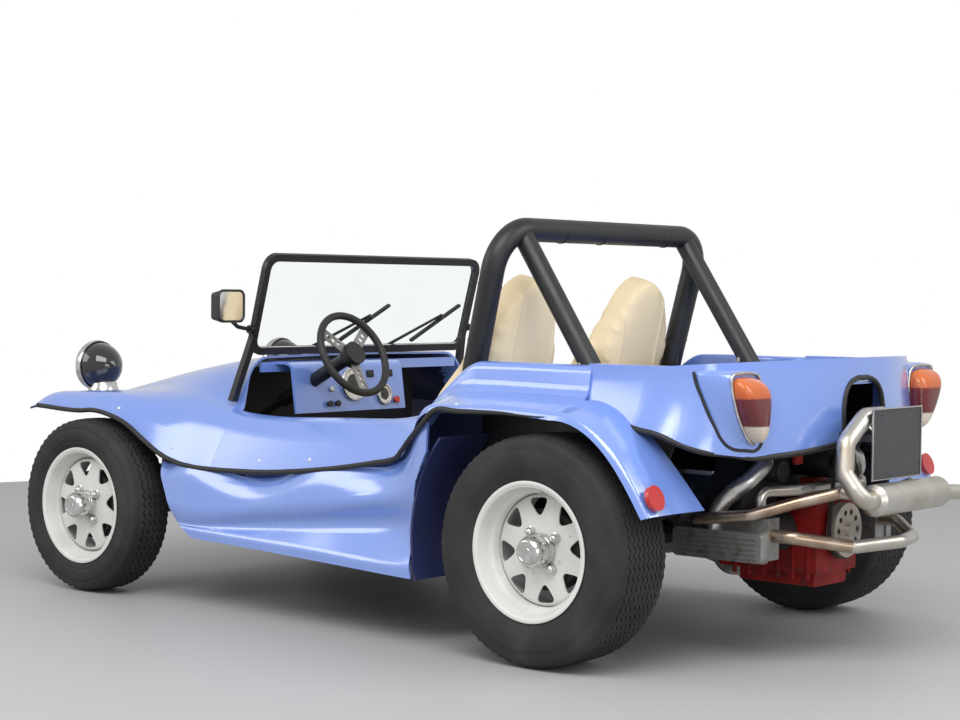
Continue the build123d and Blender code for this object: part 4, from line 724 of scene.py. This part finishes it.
def makeWheelTrim(end, side):
    w, t = wheels[end], wheelTrim
    sideName = sideNames[side]
    body = f"wheel_{end}_{sideName}"
    hub = wheelCentre(end, side) + Vector((0, side * (w["rimWidth"] / 2 - w["inset"]) / 1000, 0))
    out = (0, side, 0)
    first = spun(nutProfile, hub + Vector((0, 0, t["circle"] / 1000)), out, 12)
    turns = [math.radians(t["turn"]) + math.tau * i / t["nuts"] for i in range(t["nuts"])]
    nuts = [copyOf(first, turnAbout(hub, "Y", turn)) for turn in turns]
    bpy.data.objects.remove(first)
    settle(joined(nuts), f"wheel_nuts_{end}_{sideName}", "chrome", body=body)
    settle(spun(capProfile, hub, out, 48), f"hub_cap_{end}_{sideName}", "chrome", body=body)
    ring = spun(ringProfile, hub, out, t["knurls"])
    for v in ring.data.vertices:  # knurls on the ring
        dx, dz = v.co.x - hub.x, v.co.z - hub.z
        step = round(math.atan2(dx, dz) / math.tau * t["knurls"]) % 2
        if step and math.hypot(dx, dz) > t["knurlFrom"]:
            v.co.x, v.co.z = hub.x + dx * t["knurlShare"], hub.z + dz * t["knurlShare"]
    settle(ring, f"hub_ring_{end}_{sideName}", "chrome", body=body)


for end in wheels:
    for side in sideNames:
        makeWheelTrim(end, side)
print("wheel trim made")

# black bead along the body's edge, from the nose round the wheel arch to the tail
bead = {
    "radius": 0.0085, "shift": Vector((0, 0.011, -0.002)), "reach": 0.04, "lift": 0.002,
    "taper": (0.15, 0.4, 0.6, 0.8), "smoothed": (560, 1800),
}
beadRun = [
    (2400, 750, 656), (2330, 750, 655), (2250, 750, 652), (2165, 750, 650), (2080, 750, 653),
    (1990, 750, 640), (1900, 750, 612), (1810, 750, 563), (1720, 750, 514), (1640, 750, 494),
    (1560, 750, 484), (1480, 750, 481), (1335, 750, 484), (1190, 750, 490), (1045, 750, 504),
    (899, 750, 522), (793, 750, 541), (688, 750, 562), (600, 750, 570), (560, 770, 602), (520, 792, 636),
    (475, 822, 690), (430, 845, 730), (360, 850, 742), (280, 852, 743), (180, 852, 745), (100, 852, 746),
    (20, 852, 742), (-50, 840, 742),
]
tailRun = [
    (-70, 690, 752), (-140, 690, 735), (-200, 690, 722), (-265, 692, 708), (-330, 688, 694),
    (-390, 662, 674), (-444, 628, 652), (-490, 550, 640), (-527, 475, 631), (-560, 400, 634),
    (-590, 300, 641), (-606, 215, 650), (-612, 150, 657),
]
edge = []
for x, y, z in beadRun:
    near = hug(bodyAt(x), [spot(x, y, z)], bead["lift"])[0]
    proud = hug("side_panel_left", [near], bead["lift"])[0]
    if (proud - near).length < bead["reach"] and proud.y > near.y:
        near = proud
    edge.append(near + bead["shift"])
rearEnd, frontEnd = (spot(x, 0, 0).x for x in bead["smoothed"])
for i in range(1, len(edge) - 1):
    if rearEnd < edge[i].x < frontEnd:
        edge[i] = (edge[i - 1] + edge[i] * 2 + edge[i + 1]) / 4
tail = hug("rear_body", [spot(*p) for p in tailRun], bead["lift"])
for side, sideName in sideNames.items():
    edgeBead = tube(onSide(edge, side), bead["radius"], taper=bead["taper"])
    settle(edgeBead, f"edge_bead_{sideName}", "rubber")
    settle(tube(onSide(tail, side), bead["radius"]), f"tail_bead_{sideName}", "rubber")
print("beads laid")

wallThickness = 0.004  # metres


def addWalls(name, run):  # a thin wall through points on the left, and its twin, coloured in the darker navy as painted shade
    wall = outlined([spot(*p) for p in run])
    apply(wall, "SOLIDIFY", thickness=wallThickness, offset=0.0)
    for piece, sideName in ((wall, "left"), (twinAcross(wall), "right")):
        settle(piece, f"{name}_{sideName}", "body_blue", paintedShadeNavy)


# inner walls of the wheel houses, from the cockpit's side back to the deck
addWalls("wheelhouse_wall", [
    (418, 567, 262), (470, 592, 262), (612, 594, 262), (612, 594, 668), (560, 594, 716), (520, 594, 752),
    (475, 594, 790), (428, 572, 822), (418, 567, 800),
])

# side walls of the footwells, between the cockpit and the front wheels
footwell = {"rear": 1470, "front": 1748, "low": 262, "top": 662, "left": 562}
f = footwell
footwellCorners = (("rear", "low"), ("front", "low"), ("front", "top"), ("rear", "top"))
addWalls("footwell_wall", [(f[x], f["left"], f[z]) for x, z in footwellCorners])

# rubber edge of the arched opening in the tail
opening = {
    "half": 119, "low": 655, "waist": 720, "top": 852, "corner": 88, "chamfer": 26, "x": -612,
    "radius": 0.008, "lift": 0.001,
}
o = opening
arch = [
    (o["half"], o["low"]), (o["half"], o["waist"]), (o["half"], o["top"] - o["corner"]),
    (o["half"] - o["chamfer"], o["top"] - o["chamfer"]), (o["half"] - o["corner"], o["top"]), (0, o["top"]),
]
arch += [(-y, z) for y, z in reversed(arch[:-1])]
archRun = hug("rear_body", [spot(o["x"], y, z) for y, z in arch], o["lift"])
settle(tube(archRun, o["radius"]), "tail_opening_rubber", "rubber")

# seats: foam under vinyl, from the CAD form, swollen by cloth pressure and sewn into channels
seatPad = {
    "voxel": 0.011, "pressure": 4.0, "frames": 20, "cap": 0.012, "bolster": 58.0, "inset": 8,
    "channel": 0.006, "channelAt": 0.105, "channelHalf": 0.012, "cushionTop": 0.5,
}
seatWidths = [  # height in metres, share of the CAD width
    (0.30, 1.0), (0.86, 1.0), (0.955, 1.32), (0.99, 1.4), (1.05, 1.22), (1.125, 0.9), (1.2, 0.8),
]
bolsterSide = [
    (520, 935), (613, 852), (690, 768), (755, 696), (850, 604), (1000, 545), (1085, 485), (1080, 420),
    (600, 400),
]


def widthAt(z):
    for (z0, s0), (z1, s1) in zip(seatWidths, seatWidths[1:]):
        if z <= z1:
            return s0 + (s1 - s0) * max(0.0, (z - z0) / (z1 - z0))
    return seatWidths[-1][1]


def makeSeat():
    s = seatPad
    node = nodes["seat_left"]
    obj = node.copy()
    obj.data = node.data.copy()
    for key in list(obj.keys()):
        del obj[key]
    obj.parent = None
    scene.collection.objects.link(obj)
    edit(obj)
    bpy.ops.mesh.remove_doubles(threshold=0.0001)
    leaveEdit()
    low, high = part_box("seat_left")
    middle = (low.y + high.y) / 2
    bolsters = []
    for inner in (low.y * 1000 + s["inset"], high.y * 1000 - s["inset"] - s["bolster"]):
        side = outlined([spot(x, inner, z) for x, z in bolsterSide])
        edit(side)
        bpy.ops.mesh.extrude_region_move(TRANSFORM_OT_translate={"value": (0, s["bolster"] / 1000, 0)})
        bpy.ops.mesh.select_all(action="SELECT")
        bpy.ops.mesh.normals_make_consistent(inside=False)
        leaveEdit()
        bolsters.append(side)
    obj = joined([obj] + bolsters)
    apply(obj, "REMESH", mode="VOXEL", voxel_size=s["voxel"], use_smooth_shade=True)
    apply(obj, "SMOOTH", factor=0.5, iterations=14)
    for v in obj.data.vertices:  # shoulders that slope straight up to the head
        v.co.y = middle + (v.co.y - middle) * widthAt(v.co.z)
    start = [v.co.copy() for v in obj.data.vertices]
    only(obj)
    bpy.ops.object.modifier_add(type="CLOTH")
    cloth = obj.modifiers[-1]
    cloth.settings.use_pressure = True
    cloth.settings.uniform_pressure_force = s["pressure"]
    cloth.settings.effector_weights.gravity = 0
    cloth.point_cache.frame_end = s["frames"]
    for frameNumber in range(1, s["frames"] + 1):
        scene.frame_set(frameNumber)
    bpy.ops.object.modifier_apply(modifier=cloth.name)
    scene.frame_set(1)
    for v, before in zip(obj.data.vertices, start):
        move = v.co - before
        if move.length > s["cap"]:
            v.co = before + move * (s["cap"] / move.length)
    apply(obj, "SMOOTH", factor=0.5, iterations=8)
    apply(obj, "SUBSURF", levels=1, render_levels=1)
    for v in obj.data.vertices:  # sewn channels up the back and along the cushion
        for off in (-s["channelAt"], s["channelAt"]):
            near = abs(v.co.y - middle - off)
            if near < s["channelHalf"]:
                sink = s["channel"] * (1 - near / s["channelHalf"])
                if v.co.z > s["cushionTop"]:
                    v.co.x -= sink
                elif v.co.z < s["cushionTop"]:
                    v.co.z -= sink
    return obj


leftSeat = makeSeat()
rightSeat = twinAcross(leftSeat)
for obj, sideName in ((leftSeat, "left"), (rightSeat, "right")):
    settle(obj, f"seat_pad_{sideName}", "vinyl")
    bpy.ops.object.shade_smooth()
    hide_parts(f"seat_{sideName}")
print("seats padded")

# dials: chrome bezel, pale scale ring with ticks, needle
panel = {"ahead": frontAxle - 740, "foot": 662, "rise": 166, "lean": 24}  # the dash's face, millimetres
dials = [{"left": 157, "up": 757, "radius": 58}, {"left": 0, "up": 716, "radius": 36}]
dialMarks = {"ticks": 11, "first": -130, "apart": 26, "needle": 118, "steps": 48}  # angles in degrees
panelLean = math.atan2(panel["lean"], panel["rise"])
panelFacing = Vector((-math.cos(panelLean), 0, math.sin(panelLean)))


def onDash(left, up):  # a point on the instrument panel, millimetres
    return spot(panel["ahead"] + panel["lean"] * (up - panel["foot"]) / panel["rise"], left, up)


def turnedOut(angle, out, height):  # round the dial's middle, then out from it, metres
    return Matrix.Rotation(math.radians(angle), 4, "Z") @ Matrix.Translation((0, out, height))


def makeDial(d, number):
    r, m = d["radius"], dialMarks
    centre = onDash(d["left"], d["up"])
    bezelProfile = [(0, r - 6), (12, r - 6), (13.5, r - 3), (13, r + 1), (10, r + 3), (0, r + 3), (0, r - 6)]
    bezel = spun(bezelProfile, centre, panelFacing, m["steps"])
    settle(bezel, f"dial_bezel_{number}", "chrome")
    scaleProfile = [(9.2, r * 0.62), (9.2, r - 6.5), (9.8, r - 6.5), (9.8, r * 0.62), (9.2, r * 0.62)]
    scaleRing = spun(scaleProfile, centre, panelFacing, m["steps"])
    settle(scaleRing, f"dial_scale_{number}", "gauge_black", paleRim)
    inPlace = Matrix.Translation(centre) @ turnTo(panelFacing)
    marks = []
    for i in range(m["ticks"]):
        tick = box((0.0014, r * 0.00014, 0.0006))
        tick.data.transform(turnedOut(m["first"] + m["apart"] * i, r * 0.00076, 0.0101))
        tick.data.transform(inPlace)
        marks.append(tick)
    bpy.ops.mesh.primitive_cone_add(vertices=12, radius1=0.0022, radius2=0.0006, depth=r * 0.00085)
    needle = bpy.context.object
    needle.data.transform(Matrix.Rotation(math.radians(-90), 4, "X"))
    needle.data.transform(turnedOut(m["needle"], r * 0.0004, 0.0115))
    needle.data.transform(inPlace)
    marks.append(needle)
    settle(joined(marks), f"dial_marks_{number}", "gauge_black")


for number, d in enumerate(dials):
    makeDial(d, number)

# knobs and rocker switches on the panel
knobs = [
    {"left": -62, "up": 694, "radius": 13, "length": 16, "mat": redKnob},
    {"left": 250, "up": 690, "radius": 11, "length": 18, "mat": finish["rubber"]},
    {"left": 290, "up": 690, "radius": 11, "length": 18, "mat": finish["rubber"]},
    {"left": 268, "up": 742, "radius": 10, "length": 10, "mat": finish["chrome"]},
]
for number, k in enumerate(knobs):
    r, h = k["radius"], k["length"]
    knob = spun([(-2, 0), (-2, r * 0.7), (h * 0.4, r * 0.7), (h * 0.5, r), (h - 2, r), (h, r - 2), (h, 0)],
                onDash(k["left"], k["up"]), panelFacing, 24)
    settle(knob, f"dash_knob_{number}", "rubber", k["mat"])
rockers = [{"left": 60, "up": 792}, {"left": -40, "up": 792}]
rockerShape = {"size": (0.034, 0.026, 0.014), "bevel": 0.003}
for number, k in enumerate(rockers):
    rocker = box(rockerShape["size"])
    rocker.data.transform(Matrix.Translation(onDash(k["left"], k["up"])) @ turnTo(panelFacing))
    apply(rocker, "BEVEL", width=rockerShape["bevel"], segments=2)
    settle(rocker, f"dash_rocker_{number}", "rubber")
print("dash dressed")

# headlamps: bright rim round the lens and a base on the fender
headlamp = {"ahead": frontAxle + 272, "left": 485, "up": 797, "footBack": 0.010}
headlampRim = [
    (28, 89), (22, 90.5), (14, 93), (30, 96), (42, 93), (47, 86), (46, 79), (37, 78.5), (36, 86), (28, 89),
]
headlampBase = [(1, 0), (1, 58), (7, 59), (16, 54), (34, 50), (40, 44), (40, 0)]
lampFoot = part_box("headlamps")[0].z
for side, sideName in sideNames.items():
    centre = spot(headlamp["ahead"], side * headlamp["left"], headlamp["up"])
    settle(spun(headlampRim, centre, (1, 0, 0), 64), f"headlamp_rim_{sideName}", "chrome")
    foot = Vector((centre.x - headlamp["footBack"], centre.y, lampFoot))
    settle(spun(headlampBase, foot, (0, 0, 1), 48), f"headlamp_base_{sideName}", "chrome")
print("headlamps dressed")

# tail lamps: domed lens narrowing downwards, on a fairing that runs into the tail's corner
lampOutline = [  # left and up, round the lens from its outer top corner
    (594, 862), (592, 826), (576, 786), (555, 746), (532, 712), (513, 690), (494, 677), (476, 675),
    (463, 690), (456, 730), (452, 780), (452, 830), (462, 858), (500, 868), (540, 869), (574, 868),
]
lampMiddle = (520, 780)
lampDepths = [  # place along the car, share of the outline
    (-500, 1.0), (-546, 1.0), (-562, 0.95), (-574, 0.8), (-580, 0.5),
]
fairingFoot = [  # where the fairing leaves the body, in the same order
    (-404, 611, 876), (-412, 609, 843), (-430, 604, 800), (-448, 598, 756), (-466, 588, 716),
    (-481, 577, 683), (-495, 555, 661), (-516, 512, 652), (-532, 468, 655), (-536, 446, 700),
    (-532, 438, 770), (-530, 434, 830), (-525, 438, 868), (-490, 495, 880), (-455, 560, 882),
    (-420, 600, 882),
]
fairingRings = [(-514, 15), (-524, 11), (-518, -4)]  # place along the car, growth of the outline
lampFit = {  # grow is in millimetres, the fall of the lens's upper end and the radii in metres
    "lensGrow": 5, "trimAt": -526, "trimGrow": 6, "trimRadius": 0.0045,
    "fall": 0.6, "fallFrom": 0.768, "fallOver": 0.1, "beadKnots": 10, "beadRadius": 0.0048,
}


def lampRing(x, share, grow=0.0):
    ring = []
    for y, z in lampOutline:
        away = Vector((y - lampMiddle[0], z - lampMiddle[1]))
        away = away * share + away.normalized() * grow
        ring.append(spot(x, lampMiddle[0] + away.x, lampMiddle[1] + away.y))
    return ring


foot = hug("rear_body", [spot(*p) for p in fairingFoot], 0.0)
sunk = [p + Vector((0.008, -0.006, 0)) for p in foot]
rings = [lampRing(x, 1.0, grow) for x, grow in fairingRings]
half = [low.lerp(lip, 0.5) + Vector((-0.004, 0.005, 0)) for low, lip in zip(foot, rings[0])]
fairing = outlined(sunk)
raised(fairing, [foot, half, *rings])
apply(fairing, "SUBSURF", levels=2, render_levels=2)
settle(joined([fairing, twinAcross(fairing)]), "lamp_fairings", "body_blue")
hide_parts("lamp_pods")
q = lampFit
lens = outlined(lampRing(*lampDepths[0], q["lensGrow"]))
raised(lens, [lampRing(*d, q["lensGrow"]) for d in lampDepths[1:]])
for vertex in lens.data.vertices:  # the upper end falls away to the back
    reach = max(0.0, spot(q["trimAt"], 0, 0).x - vertex.co.x)
    vertex.co.z -= q["fall"] * reach * max(0.0, vertex.co.z - q["fallFrom"]) / q["fallOver"]
apply(lens, "SUBSURF", levels=2, render_levels=2)
settle(joined([lens, twinAcross(lens)]), "lamp_lenses", "lens_red", lampBands)
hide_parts("tail_lamps")
lampTrim = lampRing(q["trimAt"], 1.0, q["trimGrow"])
podBead = [p + Vector((0, 0.001, 0)) for p in foot[:q["beadKnots"]]]
for side, sideName in sideNames.items():
    trim = tube(onSide(lampTrim, side), q["trimRadius"], closed=True)
    settle(trim, f"lamp_trim_{sideName}", "chrome")
    settle(tube(onSide(podBead, side), q["beadRadius"]), f"pod_bead_{sideName}", "rubber")
print("tail lamps made")

# black rims round the glass of the mirrors
mirrorRim = {"inset": 0.06, "radius": 0.0045}  # share of the way to the middle, metres
mirrorMesh = nodes["mirrors"].data
glassIndex = mirrorMesh.materials.find(mirrorFace.name)
for side, sideName in sideNames.items():
    glass = [q for q in mirrorMesh.polygons if q.material_index == glassIndex and q.center.y * side > 0]
    places = {tuple(round(c, 6) for c in mirrorMesh.vertices[i].co) for q in glass for i in q.vertices}
    corners = [Vector(place) for place in sorted(places)]
    middle = sum(corners, Vector()) / len(corners)
    corners.sort(key=lambda c: math.atan2(c.z - middle.z, c.y - middle.y))
    run = [c.lerp(middle, mirrorRim["inset"]) for c in corners]
    rim = tube(run, mirrorRim["radius"], closed=True, smooth=2, sides=3, handles="VECTOR")
    settle(rim, f"mirror_rim_{sideName}", "black_paint")

# plate frame
plate = {"x": -727, "half": 149, "low": 555, "top": 765, "radius": 0.0032}
plateEnds = ((1, "low"), (1, "top"), (-1, "top"), (-1, "low"))
corners = [spot(plate["x"], side * plate["half"], plate[end]) for side, end in plateEnds]
frameBar = tube(corners, plate["radius"], closed=True, smooth=1, sides=2, handles="VECTOR")
settle(frameBar, "plate_frame", "chrome")

# rivets along the body side
rivets = [
    (1975, 745, 676), (1690, 740, 545), (1470, 736, 520), (1255, 736, 526), (1020, 736, 545),
    (300, 835, 770),
]
rivetProfile = [(-1, 0), (-1, 6.5), (1, 6), (2.6, 3.5), (3.2, 0)]
heads = []
for x, y, z in rivets:
    place, normal = nodes[bodyAt(x)].closest_point_on_mesh(spot(x, y, z))[1:3]
    heads.append(spun(rivetProfile, place, -normal if normal.z < 0 else normal, 14))
row = joined(heads)
for piece, sideName in ((row, "left"), (twinAcross(row), "right")):
    settle(piece, f"side_rivets_{sideName}", "rim_white")
print("rivets set")

# roll bar: seams of its padded wrap, and bolts through the feet of the braces
hoop = {
    "top": (362, 558, 1295), "foot": (620, 528, 250), "radius": 38.0,
    "wraps": (250, 40, -330), "wrapDrop": 1.6, "legShares": (0.17, 0.34),
    "braceFoot": (62, 450, 872), "footBolts": (46, 34), "boltRadius": 0.008, "boltHeight": 0.012,
}
r = hoop["radius"]
bandProfile = [(-4, r - 1), (-3, r + 0.9), (0, r + 1.4), (3, r + 0.9), (4, r - 1)]
hoopTop = spot(*hoop["top"])
legWay = spot(*hoop["foot"]) - hoopTop
x, z = hoop["top"][0], hoop["top"][2] - hoop["wrapDrop"]
seams = [(spot(x, left, z), Vector((0, 1, 0))) for left in hoop["wraps"]]
legSeams = [(hoopTop + legWay * share, legWay) for share in hoop["legShares"]]
seams += legSeams + [mirrored(seam) for seam in legSeams]
bands = [spun(bandProfile, place, way, 36) for place, way in seams]
settle(joined(bands), "hoop_wrap_seams", "black_paint")
x, y, z = hoop["braceFoot"]
ahead, across = hoop["footBolts"]
footBolts = []
for side in sideNames:
    for dx in (-ahead, ahead):
        for dy in (-across, across):
            place = hug("roll_bar", [spot(x + dx, side * y + dy, z)], 0.0)[0]
            footBolts.append(bolt(place, (0, 0, 1), hoop["boltRadius"], hoop["boltHeight"]))
settle(joined(footBolts), "brace_foot_bolts", "steel")
print("roll bar dressed")

# engine bay: heater ducts from the fan housing down to the cylinder heads, with clamps
duct = {
    "radius": 0.026,
    "run": [
        (-385, 235, 612), (-424, 258, 600), (-420, 312, 556), (-374, 352, 508), (-334, 364, 458),
        (-320, 362, 400),
    ],
}
clampProfile = [(-6, 26.2), (-6, 28.4), (6, 28.4), (6, 26.2), (-6, 26.2)]
for side, sideName in sideNames.items():
    run = [spot(x, side * y, z) for x, y, z in duct["run"]]
    pipe = tube(run, duct["radius"], smooth=16, sides=6)
    settle(pipe, f"heater_duct_{sideName}", "alloy", silverHose)
    clamps = [spun(clampProfile, run[i], run[i + 1] - run[i - 1], 28) for i in (1, 3)]
    settle(joined(clamps), f"duct_clamps_{sideName}", "steel")

# breather canister on the fan housing with its red neck
canister = {
    "place": (-470, 190, 566), "neckRadius": 0.017,
    "neck": [(-498, 190, 596), (-500, 196, 626), (-492, 214, 648), (-466, 226, 652)],
}
canProfile = [
    (-4, 0), (-4, 30), (6, 33), (44, 33), (48, 31), (50, 34), (58, 34), (62, 30), (63, 18), (60, 16), (60, 0),
]
canSeat = hug("fan_housing", [spot(*canister["place"])], 0.0)[0]
settle(spun(canProfile, canSeat, (-1, 0, 0), 40), "breather_can", "iron")
neck = tube([spot(*p) for p in canister["neck"]], canister["neckRadius"], smooth=10, sides=5)
settle(neck, "breather_neck", "engine_red")

# ribs on the engine case
caseRib = {
    "size": (0.012, 0.010, 0.1), "bevel": 0.003, "from": -500, "pitch": 52, "count": 6,
    "left": 122, "up": 285,
}
c = caseRib
ribs = []
for side in sideNames:
    for i in range(c["count"]):
        rib = box(c["size"])
        rib.data.transform(Matrix.Translation(spot(c["from"] + i * c["pitch"], side * c["left"], c["up"])))
        ribs.append(rib)
ribRow = joined(ribs)
apply(ribRow, "BEVEL", width=c["bevel"], segments=2)
settle(ribRow, "case_ribs", "engine_red")
print("engine bay dressed")
